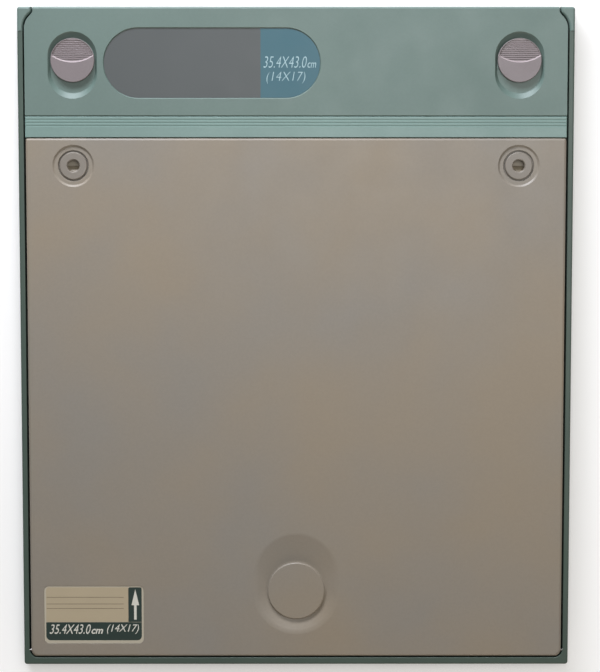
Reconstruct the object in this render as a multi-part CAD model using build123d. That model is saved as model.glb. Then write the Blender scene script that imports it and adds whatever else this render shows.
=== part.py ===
from build123d import *

import math
import os

# Imaging-plate cassette for X-ray work, 35 x 43 cm format.
#
# A shallow tray (front panel, moulded frame, end sill) holds the imaging plate. A hinged lid closes
# it light-tight. Two sprung slide locks in the lid hook under keepers on the sill. Each lock opens
# with a thumb knob, or with a pin pressed on the ramp under its socket.
#
# Axes: X across the width, +Y from the hinge end to the lock end, +Z from the front (tube side)
# to the back (lid side). The origin is the centre of the front face. Millimetres.

# ---- outline ----
width = 384.0
length = 460.0
corner_radius = 2.0

# ---- modelling allowances ----
near = 0.01                 # for picking an edge by its place
bond = 0.1                  # solids that become one run this far into each other
over = 1.0                  # cutting solids run past a face by this much

# ---- what is stacked from the front face to the back face ----
lip_height = 0.9            # frame lip that stands proud of the front panel
panel_thickness = 1.6
liner_thickness = 0.5
plate_thickness = 0.7       # imaging plate
pad_clearance = 0.3         # between the plate and the pad, lid closed
pad_thickness = 2.2
foil_thickness = 0.2
inner_panel_thickness = 1.0
guide_floor = 0.8
slide_play = 0.2            # running clearance of the lock slider in its guide
slider_thickness = 1.6
slider_headroom = 0.4
recess_floor = 1.6
recess_depth = 3.0          # knob recess
lid_wall = 1.8

# ---- frame ----
rail_wall = 3.8
hinge_wall = 4.9
lid_gap = 1.1               # beside the lid
hinge_gap = 1.0             # at its hinge end
lid_proud = 0.5             # lid above the frame walls
lip_width = 6.0
panel_rebate = 3.2          # from the outer face to the edge of the front panel
panel_play = 0.2
ledge_side = 13.5           # from the outer face to the edge of the opening
ledge_hinge = 13.0
ledge_lock = 14.5
ledge_thickness = 2.1
opening_radius = 3.0
lid_radius = 5.0            # lid corners at the hinge end, in plan
rail_outer_round = 1.2
rail_inner_round = 0.4
spigot_width = 2.0
spigot_height = 7.0
spigot_length = 10.0
spigot_play = 0.1
spigot_rise = 1.0           # spigot above the ledge
sill_peg_floor = 0.4        # sill left under its pocket
sill_peg_roof = 0.5         # and above it
sill_peg_width = 3.0
sill_peg_inset = 4.0        # from the inner face of the lid's end wall

# ---- corner blocks at the lock end ----
block_length = 16.4
ear_shift = 6.0             # how far the edge of the block swings inwards
ear_turn = 50.0             # degrees
ear_tight_radius = 4.0
ear_end = 2.2               # straight run at the end of the swing
block_round = rail_wall * 17 / 38

# ---- light seal ----
seal_width = 3.0
seal_groove = 0.5
seal_inset_side = 8.0
seal_inset_hinge = 8.2
seal_inset_lock = 11.3
seal_gap = 0.3              # to the lid

# ---- contents ----
plate_play_side = 1.5
plate_play_end = 1.25
plate_radius = 3.0
liner_play = 0.2
pad_inset = 3.0             # pad edge inside the edge of the imaging plate
pad_radius = 5.0

# ---- lid shell ----
skirt_wall = 2.0
edge_wall = 1.6             # walls where the lid's pieces meet
back_step = 0.3             # back plate's side edges inside those of the cover and strip
back_corner = 1.5           # its corners beside the trim strip, in plan
back_bevel = 1.3            # width of the bevel round its outer face
back_bevel_depth = 0.6
end_round = 1.7
inner_panel_play = 0.2
hinge_block = 6.0           # thick end of the back plate that holds the pivots
hinge_inset = 4.0           # hinge axis from the plate's edge, and radius of that edge about it
hinge_drop = 2.4            # hinge axis below the outer face
hinge_swing_play = 0.1      # underside corner, cut back to swing clear of the seal
rib_wall = 1.2
long_ribs = 3
cross_ribs = 4
rib_margin = 36.0           # from the back plate's edges to the outermost ribs
cover_length = 74.8         # lock cover, from the lock end
parting = 0.3               # lock cover to trim strip
strip_length = 14.4
strip_gap = 0.6             # trim strip to back plate
groove_count = 3
groove_pitch = 2.1
groove_first = 2.35         # from the strip's upper edge
groove_width = 1.5
groove_depth = 0.15
groove_margin = 0.5         # grooves stop short of the strip's ends
strip_end_bevel = 0.5
strip_end_bevel_depth = 0.3
strip_edge = 0.3
v_chamfer = 0.5
end_skirt_gap = 0.3         # under the lid's end wall
rib_end_wall = 1.6          # wall across the cover that the tongues pass through
rib_from_opening = 0.7
rib_from_guide = 8.0        # back plate's ribs end short of the lock guides
slot_play = 0.4             # beside the lock guides, in the walls that they pass

# ---- pivots ----
pin_radius = 1.0
pin_fit = 0.02              # in the frame
pin_running = 0.05          # in the back plate
pin_sunk = 0.3
pin_depth = 6.0             # into the back plate

# ---- slide locks ----
lock_inset_x = 37.9         # lock line from the outer side face
lock_inset_y = 36.5         # knob centre from the lock end
lock_travel = 7.0
knob_radius = 15.1
knob_play = 0.3
knob_lift = 0.2             # knob above the recess floor
knob_edge = 0.3
knob_scoop_depth = 1.1      # at the lip
knob_scoop_far = 0.15       # at the far rim
knob_scoop_radius = 25.6    # plan radius of the scoop's lip
knob_lip_y = -1.6           # lowest point of the lip, from the knob centre
knob_lip_run = 0.9          # width of the sloping wall under the lip
knob_scoop_rim = 0.45
knob_groove_pitch = 1.4
knob_groove_depth = 0.35
knob_groove_width = 0.65
knob_groove_first = 2.05    # from the lip
knob_groove_end = 0.1       # grooves stop short of the scoop's edge
knob_stem_x = 10.0
knob_stem_y = 8.0
recess_side_slope = 1.6     # top outline beyond the floor outline, beside the knob
recess_reach_upper = 2.4    # top outline beyond the floor outline
recess_reach_lower = 2.3
slider_width = 12.0
tongue_hold = 2.6           # tongue under the keeper lip, lock shut
tongue_play = 0.5
tongue_bevel = 0.9
guide_rail = 2.4
guide_rail_height = 2.0
guide_tab = 6.0
guide_tab_length = 8.0
guide_start = 16.0          # guide beyond the socket centre
slider_start = 13.0         # slider beyond the socket centre
rivet_radius = 1.0
rivet_head = 1.9
rivet_head_height = 0.7
rivet_margin = 1.0
screw_radius = 1.25         # knob screw
screw_head = 2.3
knob_screw_bite = 3.2       # hole in the stem
knob_screw_end_play = 0.4
screw_fit = 0.05

# ---- return springs: flat serpentine strips ----
spring_length = 20.0
spring_width = 5.6
spring_strip = 0.5
spring_height = 2.4
spring_bends = 4
spring_play = 0.4           # beside the spring, in the slider's window
spring_end_play = 0.05
spring_seat = 1.6
lug_length = 2.0
lug_play = 0.3
spring_from_socket = 1.0    # lug clear of the socket's seat, on its knob side

# ---- keepers ----
keeper_width = 20.0
keeper_sheet = 1.2
keeper_bend = 0.5
keeper_gap = 0.3            # tongue to lip
keeper_from_rib = 0.8
keeper_foot_border = 0.2    # beyond the screw heads
keeper_screw_play = 0.1     # screw heads to the bend
keeper_screw_x = 6.5
keeper_screw_radius = 0.9
keeper_screw_head = 1.6
keeper_screw_head_height = 0.9
keeper_screw_depth = 1.8

# ---- pin sockets ----
socket_inset_y = 109.1      # from the lock end
socket_dish = 14.5
socket_dish_fall = 1.3      # radius lost down its sloping wall
socket_dish_depth = 1.0
socket_lip = 0.4            # bevel of the hole round the ring
socket_ring = 9.55
socket_ring_gap = 0.95
socket_ring_sunk = 0.4
socket_flange = 14.5
socket_flange_height = 1.0
socket_bore = 4.15
socket_chamfer = 0.6
socket_edge = 0.6
socket_pad = 16.0
ramp_top_play = 0.2
ramp_run = 3.9
ramp_inset = 0.3            # ramp's upper edge inside the bore's edge
ramp_back = 1.0             # bevel behind the ramp
ramp_window_web = 1.5       # slider left beside its window for the pin
ramp_window_reach = 4.0     # window beyond the bore

# ---- grip ----
grip_inset_y = 52.6         # disc centre from the hinge end
grip_disc = 20.0
grip_disc_sunk = 0.3
grip_radius = 30.0          # where the dish starts to fall away
grip_foot = 20.7            # where its slope meets the floor round the disc
grip_lower = 0.8            # end centres of the dish's mouth, from the disc centre
grip_upper = 12.2
grip_foot_run = 0.4         # between the end centres of its foot
grip_depth = 2.4
grip_round = 12.0           # rounding of its mouth
grip_disc_edge = 0.5

# ---- plates and labels ----
nameplate_length = 149.0
nameplate_width = 47.5
nameplate_thickness = 0.35
nameplate_recess = 1.0
nameplate_bevel = 0.5       # round the mouth of its recess
nameplate_from_lock = 21.65
nameplate_inset_y = 38.5
label_length = 70.0
label_width = 41.0
label_thickness = 0.25
label_recess = 0.4
label_radius = 3.5
label_inset_x = 14.6
label_inset_y = 15.1
label_play = 0.15

# ---- panel screws ----
panel_screw_radius = 0.9
panel_screw_head = 1.9
panel_screw_length = 5.0
panel_screw_border = 3.0    # from the pad's edge
panel_boss = 2.9
panel_screw_head_height = 0.8
plate_screw_rows = 2
plate_screw_margin = 30.0
screw_end_play = 0.3        # hole beyond the screw's end
cover_screw_inset = 24.0

# ---- heights that follow ----
z_panel = lip_height
z_liner = z_panel + panel_thickness
z_plate = z_liner + liner_thickness
z_pad = z_plate + plate_thickness + pad_clearance
z_foil = z_pad + pad_thickness
z_inner = z_foil + foil_thickness
z_guide = z_inner + inner_panel_thickness
z_slider = z_guide + guide_floor + slide_play
z_slider_top = z_slider + slider_thickness
z_recess = z_slider_top + slider_headroom + recess_floor
z_top = z_recess + recess_depth
z_ceiling = z_top - lid_wall
z_rail = z_top - lid_proud
z_ledge = z_liner + ledge_thickness
z_seal = z_inner - seal_gap
z_spring_top = z_slider + spring_height

# ---- places that follow ----
side = width / 2
lock_end = length / 2
hinge_end = -length / 2
lid_side = side - rail_wall - lid_gap
back_side = lid_side - back_step
lid_hinge_edge = hinge_end + hinge_wall + hinge_gap
hinge_y = lid_hinge_edge + hinge_inset
hinge_z = z_top - hinge_drop
block_y = lock_end - block_length
opening_side = side - ledge_side
opening_hinge = hinge_end + ledge_hinge
opening_lock = lock_end - ledge_lock
lock_x = side - lock_inset_x
knob_y = lock_end - lock_inset_y
socket_y = lock_end - socket_inset_y
cover_y = lock_end - cover_length
strip_top_y = cover_y - parting
strip_low_y = strip_top_y - strip_length
plate_top_y = strip_low_y - strip_gap
end_wall_y = lock_end - skirt_wall
rib_y = opening_lock + rib_from_opening
rib_end_y = rib_y + rib_end_wall
keeper_tip_y = rib_end_y + keeper_from_rib
tongue_y = keeper_tip_y + tongue_hold
keeper_wall_y = tongue_y + tongue_play
keeper_foot_y = keeper_wall_y + keeper_sheet + keeper_bend
keeper_screw_y = keeper_foot_y + keeper_screw_head + keeper_screw_play
floor_radius = knob_radius + knob_play
recess_radius_top = floor_radius + recess_side_slope
lug_y = socket_y + socket_pad + spring_from_socket
spring_y = lug_y + lug_length
spring_end_y = spring_y + spring_length
panel_hinge_y = lid_hinge_edge + hinge_block + inner_panel_play
panel_lock_y = rib_y - inner_panel_play
plate_side = opening_side - plate_play_side
plate_hinge_y = opening_hinge + plate_play_end
plate_lock_y = opening_lock - plate_play_end
grip_y = hinge_end + grip_inset_y


def block(x0, x1, y0, y1, z0, z1):
    """A box given by its lowest and highest corners."""
    return Pos(x0, y0, z0) * Box(x1 - x0, y1 - y0, z1 - z0, align=(Align.MIN, Align.MIN, Align.MIN))


def rounded(x0, x1, y0, y1, z0, z1, radius):
    """A box with its four upright edges rounded."""
    plan = Pos((x0 + x1) / 2, (y0 + y1) / 2) * RectangleRounded(x1 - x0, y1 - y0, radius)
    return extrude(Pos(0, 0, z0) * plan, z1 - z0)


def rod(x, y, z0, z1, radius):
    """A round bar that stands along Z."""
    return Pos(x, y, z0) * Cylinder(radius, z1 - z0, align=(Align.CENTER, Align.CENTER, Align.MIN))


def stadium(x, y0, y1, radius, z):
    """A flat stadium whose end centres lie at y0 and y1."""
    plan = Rectangle(2 * radius, y1 - y0)
    ends = [Pos(0, s * (y1 - y0) / 2) * Circle(radius) for s in (-1, 1)]
    return Pos(x, (y0 + y1) / 2, z) * (plan + ends)


def flat_screw(x, y, z, radius, head, reach):
    """A countersunk screw that points up from a head flush at height z."""
    depth = head - radius
    cone = Pos(x, y, z) * Cone(
        head, radius, depth, align=(Align.CENTER, Align.CENTER, Align.MIN)
    )
    return cone + rod(x, y, z + depth, z + reach, radius)


def both_sides(solid):
    """A left-hand solid and its mirror image on the right."""
    return solid, mirror(solid, Plane.YZ)


def save(name, shape):
    export_step(shape if isinstance(shape, Compound) else Compound([shape]), f"parts/{name}.step")


def group(name, solids):
    """Like pieces kept as separate solids in one node."""
    export_step(Compound([piece for whole in solids for piece in whole.solids()]), f"parts/{name}.step")


# ---- base: frame, corner blocks, sill ----


def panel_seat():
    """The rebate for the front panel and the window that shows it."""
    edge = side - panel_rebate + panel_play
    end = length / 2 - panel_rebate + panel_play
    seat = block(-edge, edge, -end, end, z_panel, z_liner)
    window = rounded(
        lip_width - side, side - lip_width, hinge_end + lip_width, lock_end - lip_width,
        0, z_panel, opening_radius,
    )
    return seat + window


def opening():
    """The space inside the ledge, where the imaging plate lies."""
    return rounded(
        -opening_side, opening_side, opening_hinge, opening_lock, z_liner, z_top, opening_radius
    )


def ear_edge(offset):
    """Edge between a corner block and the lid on the left, shifted by offset towards the lid."""
    large = ear_shift / (1 - math.cos(math.radians(ear_turn))) - ear_tight_radius
    start = Vector(-lid_side - lid_gap / 2 + offset, cover_y)
    swing_y = lock_end - ear_end - (large + ear_tight_radius) * math.sin(math.radians(ear_turn))
    rise = Line(start, (start.X, swing_y))
    wide = JernArc(rise @ 1, (0, 1), large - offset, -ear_turn)
    tight = JernArc(wide @ 1, wide % 1, ear_tight_radius + offset, ear_turn)
    last = tight @ 1
    return [rise, wide, tight, Line(last, (last.X, lock_end))]


def seal_run(inset, z0, z1, play=0.0):
    """Seal, or with play its groove: two sides and the hinge end in one run, and the lock end."""
    lock_line = lock_end - seal_inset_lock
    outer = [-side + seal_inset_side - play, hinge_end + seal_inset_hinge - play]
    inner = [outer[0] + seal_width + 2 * play, outer[1] + seal_width + 2 * play]
    frame = rounded(outer[0], -outer[0], outer[1], lock_line + play, z0, z1, inset)
    hole = rounded(
        inner[0], -inner[0], inner[1], lock_line - seal_width - play, z0, z1, inset / 2
    )
    return frame - hole


def make_frame():
    """U-shaped frame: two side walls and the hinge wall, ledge, lip and panel rebate in one."""
    outer = rounded(-side, side, hinge_end, lock_end, 0, z_rail, corner_radius)
    outer -= block(-side, side, block_y, lock_end, 0, z_rail)
    top_edges = outer.edges().filter_by_position(Axis.Z, z_rail, z_rail)
    outer = fillet([e for e in top_edges if e.center().Y < block_y - near], rail_outer_round)
    inner_side = side - rail_wall
    inner_hinge = hinge_end + hinge_wall
    well = rounded(
        -inner_side, inner_side, inner_hinge, lock_end + hinge_wall, z_ledge, z_top,
        lid_radius + hinge_gap,
    )
    frame = outer - well
    rim = [
        e
        for e in frame.edges().filter_by_position(Axis.Z, z_rail, z_rail)
        if abs(e.center().X) < inner_side + bond and e.center().Y < block_y - near
        and e.center().Y > inner_hinge - bond
    ]
    frame = fillet(rim, rail_inner_round)
    frame -= opening() + panel_seat()
    frame -= seal_run(opening_radius, z_ledge - seal_groove, z_ledge)
    for s in (-1, 1):
        bore = Pos(s * side, hinge_y, hinge_z) * Rot(0, 90, 0) * Cylinder(
            pin_radius + pin_fit, 4 * rail_wall
        )
        frame -= bore
        frame -= spigot_at(s, spigot_play)
    return frame


def spigot_at(s, play):
    """Peg of a corner block in a side wall, or with play the pocket that takes it."""
    middle = s * (side - rail_wall / 2)
    half = spigot_width / 2 + play
    low = z_ledge + spigot_rise
    return block(
        middle - half, middle + half, block_y - spigot_length - play, block_y,
        low - play, low + spigot_height + play,
    )


def sill_spigot_at(s, play):
    """Peg of a corner block in the end of the sill, or with play its pocket."""
    low = z_liner + sill_peg_floor - play
    high = z_ledge - sill_peg_roof + play
    y0 = end_wall_y - sill_peg_inset - play
    y1 = y0 + sill_peg_width + 2 * play
    x0, x1 = sorted((s * opening_side, s * (opening_side - spigot_length - play)))
    return block(x0, x1, y0, y1, low, high)


def make_corner_block():
    """Left corner block: ledge corner, outer walls and the swung ear beside the lock cover."""
    lower = block(-side, -opening_side, block_y, lock_end, 0, z_ledge)
    curve = ear_edge(-lid_gap / 2)
    first = curve[0] @ 0
    last = curve[-1] @ 1
    back = Polyline((last.X, lock_end), (-side, lock_end), (-side, first.Y), (first.X, first.Y))
    ear = extrude(Pos(0, 0, z_ledge) * make_face([*curve, back]), z_top - z_ledge)
    ear &= block(-side, 0, block_y, lock_end, 0, z_top)
    whole = lower + ear
    corner = [
        e
        for e in whole.edges().filter_by(Axis.Z)
        if abs(e.center().X + side) < near and abs(e.center().Y - lock_end) < near
    ]
    whole = fillet(corner, corner_radius)
    crown = [
        e
        for e in whole.edges().filter_by_position(Axis.Z, z_top, z_top)
        if (e @ 0.5).X < near - side or (e @ 0.5).Y > lock_end - corner_radius
    ]
    whole = fillet(crown, block_round)
    whole -= panel_seat()
    whole -= seal_run(opening_radius, z_ledge - seal_groove, z_ledge)
    return whole + spigot_at(-1, 0) + sill_spigot_at(-1, 0)


def make_sill():
    """Low bar that closes the tray at the lock end and carries the keepers."""
    bar = block(-opening_side, opening_side, opening_lock, lock_end, 0, z_ledge)
    low_edge = [
        e
        for e in bar.edges().filter_by(Axis.X)
        if e.center().Y > lock_end - near
    ]
    bar = fillet(low_edge, rail_inner_round)
    bar -= panel_seat() + opening()
    bar -= seal_run(opening_radius, z_ledge - seal_groove, z_ledge)
    for s in (-1, 1):
        bar -= sill_spigot_at(s, spigot_play)
        for x in keeper_screw_places(s):
            bar -= rod(
                x, keeper_screw_y, z_ledge - keeper_screw_depth - screw_fit, z_ledge,
                keeper_screw_radius + screw_fit,
            )
    return bar


def make_front_panel():
    edge = side - panel_rebate
    end = length / 2 - panel_rebate
    return rounded(-edge, edge, -end, end, z_panel, z_liner, corner_radius / 2)


def make_seal():
    return seal_run(opening_radius, z_ledge - seal_groove, z_seal)


def make_liner():
    return rounded(
        liner_play - opening_side, opening_side - liner_play, opening_hinge + liner_play,
        opening_lock - liner_play, z_liner, z_plate, opening_radius,
    )


def make_imaging_plate():
    return rounded(
        -plate_side, plate_side, plate_hinge_y, plate_lock_y,
        z_plate, z_plate + plate_thickness, plate_radius,
    )


def keeper_screw_places(s):
    return [s * lock_x + k * keeper_screw_x for k in (-1, 1)]


def make_keeper(s):
    """Bent steel hook: foot on the sill, upright, and the lip that holds the tongue down."""
    lip_z = z_slider_top + keeper_gap
    wall = keeper_wall_y
    sheet = keeper_sheet
    foot_end = keeper_screw_y + keeper_screw_head + keeper_foot_border
    corners = Polyline(
        (wall, z_ledge),
        (foot_end, z_ledge),
        (foot_end, z_ledge + sheet),
        (wall + sheet, z_ledge + sheet),
        (wall + sheet, lip_z + sheet),
        (keeper_tip_y, lip_z + sheet),
        (keeper_tip_y, lip_z),
        (wall, lip_z),
        close=True,
    )
    face = Plane.YZ * make_face(corners)
    hook = extrude(face, keeper_width / 2, both=True)
    bends = [
        e
        for e in hook.edges().filter_by(Axis.X)
        if (abs(e.center().Y - wall) < near or abs(e.center().Y - wall - sheet) < near)
        and e.center().Z > z_ledge + near
    ]
    hook = fillet(bends, keeper_bend)
    lead = [
        e
        for e in hook.edges().filter_by(Axis.X)
        if abs(e.center().Y - keeper_tip_y) < near and e.center().Z > lip_z + keeper_sheet / 2
    ]
    hook = chamfer(lead, keeper_bend)
    hook = Pos(s * lock_x, 0, 0) * hook
    for x in keeper_screw_places(s):
        hook -= rod(
            x, keeper_screw_y, z_ledge, z_ledge + sheet + near, keeper_screw_radius + screw_fit
        )
    return hook


def make_keeper_screws():
    screws = []
    seat = z_ledge + keeper_sheet
    for s in (-1, 1):
        for x in keeper_screw_places(s):
            head = rod(x, keeper_screw_y, seat, seat + keeper_screw_head_height, keeper_screw_head)
            shank = rod(
                x, keeper_screw_y, z_ledge - keeper_screw_depth, seat, keeper_screw_radius
            )
            screws.append(head + shank)
    return screws


def make_pin():
    """Left pivot: a plain dowel from the frame wall into the back plate."""
    start = -side + pin_sunk
    stop = -back_side + pin_depth - pin_running
    dowel = Pos((start + stop) / 2, hinge_y, hinge_z) * Rot(0, 90, 0) * Cylinder(
        pin_radius, stop - start
    )
    return dowel


# ---- lid ----


def slider_slot(play_x, z0, z1, y0, y1):
    """The way that both lock guides need through walls and ribs of the lid."""
    half = slider_width / 2 + guide_rail + play_x
    left = block(-lock_x - half, -lock_x + half, y0, y1, z0, z1)
    return left + mirror(left, Plane.YZ)


def boss_places():
    """Where the inner panel is screwed to the back plate, and to the lock cover."""
    x = plate_side - pad_inset + panel_screw_border
    low = lid_hinge_edge + plate_screw_margin
    step = (plate_top_y - plate_screw_margin - low) / (plate_screw_rows - 1)
    on_plate = [(s * x, low + i * step) for s in (-1, 1) for i in range(plate_screw_rows)]
    on_cover = [(s * x, rib_y - cover_screw_inset) for s in (-1, 1)]
    return on_plate, on_cover


def add_bosses(shell, places):
    for x, y in places:
        shell += rod(x, y, z_guide, z_ceiling + near, panel_boss)
        shell -= rod(
            x, y, z_inner, z_inner + panel_screw_length + screw_end_play, panel_screw_radius + screw_fit
        )
    return shell


def grip_recess():
    """Dish round the grip disc: one even slope from its obround mouth down to the disc."""
    slope = math.atan2(grip_depth, grip_radius - grip_foot)
    mouth_radius = grip_radius - grip_round * math.tan(slope / 2)
    mouth = stadium(0, grip_y - grip_lower, grip_y + grip_upper, mouth_radius, z_top)
    foot = stadium(0, grip_y, grip_y + grip_foot_run, grip_foot, z_top - grip_depth)
    return loft([foot, mouth], ruled=True)


def make_back_plate():
    """Moulded back plate: a ribbed pan with the hinge edge, grip dish and two socket seats."""
    middle = (lid_hinge_edge + plate_top_y) / 2
    plan = Pos(0, middle) * Rectangle(2 * back_side, plate_top_y - lid_hinge_edge)
    plan = fillet(plan.vertices().group_by(Axis.Y)[0], lid_radius)
    plan = fillet(plan.vertices().group_by(Axis.Y)[-1], back_corner)
    pan = extrude(Pos(0, 0, z_inner) * plan, z_top - z_inner)
    crown = pan.edges().filter_by_position(Axis.Z, z_top, z_top)
    face = pan.faces().sort_by(Axis.Z)[-1]
    pan = chamfer(crown, back_bevel, back_bevel_depth, reference=face)
    # edge that turns in the frame: round about the hinge axis above, swung clear below
    axle = Pos(0, hinge_y, hinge_z) * Rot(0, 90, 0)
    mill = block(-side, side, lid_hinge_edge - over, hinge_y, hinge_z, z_top + over)
    mill -= axle * Cylinder(hinge_inset, 2 * width)
    relief = block(-side, side, lid_hinge_edge - over, hinge_y, z_inner - over, hinge_z)
    relief -= axle * Cylinder(hinge_z - z_inner + hinge_swing_play, 2 * width)
    pan -= mill + relief
    inside = back_side - skirt_wall
    pan -= rounded(
        -inside, inside, lid_hinge_edge + hinge_block, plate_top_y - edge_wall,
        z_inner, z_ceiling, lid_radius / 2,
    )
    pan -= block(
        -inside, inside, plate_top_y - 2 * edge_wall, plate_top_y, z_inner, z_guide
    )
    ribs = plate_ribs()
    low = grip_y - grip_lower
    high = grip_y + grip_upper
    seat = extrude(stadium(0, low, high, grip_radius + lid_wall, z_ceiling), -grip_depth)
    pan += ribs + seat
    for s in (-1, 1):
        x = s * lock_x
        pan += rod(x, socket_y, z_ceiling - socket_dish_depth, z_ceiling, socket_pad)
    on_plate, _ = boss_places()
    pan = add_bosses(pan, on_plate)
    pan -= grip_recess()
    pan = fillet(grip_mouth(pan), grip_round)
    disc = rod(0, grip_y, z_top - grip_depth - near, z_top - grip_disc_sunk, grip_disc)
    disc = chamfer(
        disc.edges().filter_by_position(Axis.Z, z_top - grip_disc_sunk, z_top), grip_disc_edge
    )
    pan += disc
    for s in (-1, 1):
        pan -= Pos(s * lock_x, socket_y, 0) * socket_dish_cut()
        bore = Pos(s * (back_side - pin_depth / 2), hinge_y, hinge_z) * Rot(0, 90, 0) * Cylinder(
            pin_radius + pin_running, pin_depth
        )
        pan -= bore
    pan -= slider_slot(slot_play, z_inner, z_ceiling, plate_top_y - 2 * edge_wall, plate_top_y)
    pan -= label_seat(label_recess, label_play)
    return pan


def socket_dish_cut():
    """Dish with a sloping wall, and the bevelled hole that the socket ring stands in."""
    hole = socket_ring + socket_ring_gap
    floor_z = z_top - socket_dish_depth
    profile = Polyline(
        (0, z_inner),
        (hole, z_inner),
        (hole, floor_z - socket_lip),
        (hole + socket_lip, floor_z),
        (socket_dish - socket_dish_fall, floor_z),
        (socket_dish, z_top),
        (0, z_top),
        close=True,
    )
    return revolve(Plane.XZ * make_face(profile), Axis.Z)


def grip_mouth(pan):
    """Edges where the dish meets the outer face."""
    low = grip_y - grip_lower - grip_radius
    high = grip_y + grip_upper + grip_radius
    return [
        e
        for e in pan.edges().filter_by_position(Axis.Z, z_top, z_top)
        if abs(e.center().X) < grip_radius and low < e.center().Y < high
    ]


def plate_ribs():
    """Stiffening grid under the back plate, kept clear of the locks and their sockets."""
    ribs = []
    x_reach = back_side - skirt_wall
    y_low = lid_hinge_edge + hinge_block
    y_high = socket_y - guide_start - rib_from_guide
    x_step = 2 * (x_reach - rib_margin) / (long_ribs - 1)
    for i in range(long_ribs):
        x = rib_margin - x_reach + i * x_step
        ribs.append(block(
            x - rib_wall / 2, x + rib_wall / 2, y_low - bond, y_high, z_guide, z_ceiling + bond
        ))
    y_step = (y_high - y_low) / cross_ribs
    for i in range(1, cross_ribs + 1):
        y = y_low + i * y_step - rib_wall / 2
        ribs.append(block(
            -x_reach - bond, x_reach + bond, y - rib_wall / 2, y + rib_wall / 2,
            z_guide, z_ceiling + bond,
        ))
    grid = ribs[0]
    for rib in ribs[1:]:
        grid += rib
    return grid


def label_seat(depth, play):
    """Rounded rectangle for the size label, cut or filled from the back face."""
    x0 = label_inset_x - side - play
    y0 = hinge_end + label_inset_y - play
    return rounded(
        x0, x0 + label_length + 2 * play, y0, y0 + label_width + 2 * play,
        z_top - depth, z_top, label_radius + play,
    )


def make_cover():
    """Lock cover: the pan over the locks, with its end wall and two sloped knob recesses."""
    left = ear_edge(lid_gap / 2)
    last = left[-1] @ 1
    first = left[0] @ 0
    half = make_face([
        *left, Polyline((last.X, lock_end), (0, lock_end), (0, first.Y), (first.X, first.Y)),
    ])
    plan = half + mirror(half, Plane.YZ)
    shell = extrude(Pos(0, 0, z_inner) * plan, z_top - z_inner)
    end_low = z_ledge + end_skirt_gap
    shell += block(last.X, -last.X, end_wall_y, lock_end, end_low, z_inner + bond)
    end_edge = [
        e
        for e in shell.edges().filter_by_position(Axis.Z, z_top, z_top)
        if e.center().Y > lock_end - near
    ]
    shell = fillet(end_edge, end_round)
    parting_edge = [
        e
        for e in shell.edges().filter_by_position(Axis.Z, z_top, z_top)
        if e.center().Y < cover_y + near
    ]
    shell = chamfer(parting_edge, v_chamfer)
    x_in = lid_side - skirt_wall
    chamber = block(-x_in, x_in, cover_y + edge_wall, rib_y, z_inner, z_ceiling)
    chamber -= ear_wall()
    shell -= chamber
    shell -= block(-x_in, x_in, cover_y, cover_y + 2 * edge_wall, z_inner, z_guide)
    end_x = -last.X - skirt_wall
    shell -= block(-end_x, end_x, rib_end_y, end_wall_y, z_inner, z_ceiling)
    low_centre, high_centre = recess_centres()
    for s in (-1, 1):
        x = s * lock_x
        bowl = stadium(
            x, low_centre - recess_reach_lower, high_centre + recess_reach_upper,
            recess_radius_top + recess_floor, z_recess - recess_floor,
        )
        shell += extrude(bowl, z_ceiling - z_recess + recess_floor + near)
        shell -= knob_recess(x)
        half_x = knob_stem_x / 2 + knob_play
        shell -= block(
            x - half_x, x + half_x, knob_y - lock_travel - knob_stem_y / 2 - knob_play,
            knob_y + knob_stem_y / 2 + knob_play, z_recess - recess_floor - over, z_top,
        )
        gate = slider_width / 2 + knob_play
        shell -= block(
            x - gate, x + gate, rib_y - bond, rib_end_y + bond, z_inner, z_slider_top + keeper_gap
        )
    _, on_cover = boss_places()
    shell = add_bosses(shell, on_cover)
    shell -= slider_slot(slot_play, z_inner, z_ceiling, cover_y - bond, cover_y + edge_wall + bond)
    shell -= nameplate_seat(nameplate_recess, label_play)
    mouth = [
        nameplate_outline(label_play + rise, z_top - nameplate_bevel + rise)
        for rise in (0, nameplate_bevel)
    ]
    return shell - loft(mouth, ruled=True)


def ear_wall():
    """Thickness left behind the swung edge of the lock cover, on both sides."""
    left = ear_edge(lid_gap / 2 + skirt_wall)
    first = left[0] @ 0
    last = left[-1] @ 1
    back = Polyline((last.X, lock_end), (-side, lock_end), (-side, first.Y), (first.X, first.Y))
    wall = extrude(Pos(0, 0, z_inner) * make_face([*left, back]), z_ceiling - z_inner)
    return wall + mirror(wall, Plane.YZ)


def recess_centres():
    """End centres of the recess floor: the knob runs from one to the other."""
    return knob_y - lock_travel - knob_play / 2, knob_y + knob_play / 2


def knob_recess(x):
    """Sloped-wall stadium; its floor is just longer than the knob and its travel."""
    low, high = recess_centres()
    floor = stadium(x, low, high, floor_radius, z_recess)
    rim = stadium(
        x, low - recess_reach_lower, high + recess_reach_upper, recess_radius_top, z_top
    )
    return loft([floor, rim], ruled=True)


def nameplate_outline(play, z):
    """Flat obround at height z, larger than the nameplate by play all round."""
    radius = nameplate_width / 2 + play
    run = nameplate_length - nameplate_width
    centre = nameplate_from_lock - lock_x + nameplate_length / 2
    plan = Rot(0, 0, 90) * stadium(0, -run / 2, run / 2, radius, 0)
    return Pos(centre, lock_end - nameplate_inset_y, z) * plan


def nameplate_seat(depth, play):
    """Place for the nameplate between the knob recesses."""
    return extrude(nameplate_outline(play, z_top - depth), depth)


def trimmed(shape, z):
    """A shape cut off level at height z."""
    return shape - block(-side, side, hinge_end, lock_end, z, z_top + over)


def make_nameplate():
    plate = nameplate_seat(nameplate_recess, 0)
    return trimmed(plate, z_top - nameplate_recess + nameplate_thickness)


def make_label():
    label = label_seat(label_recess, 0)
    return trimmed(label, z_top - label_recess + label_thickness)


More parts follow.
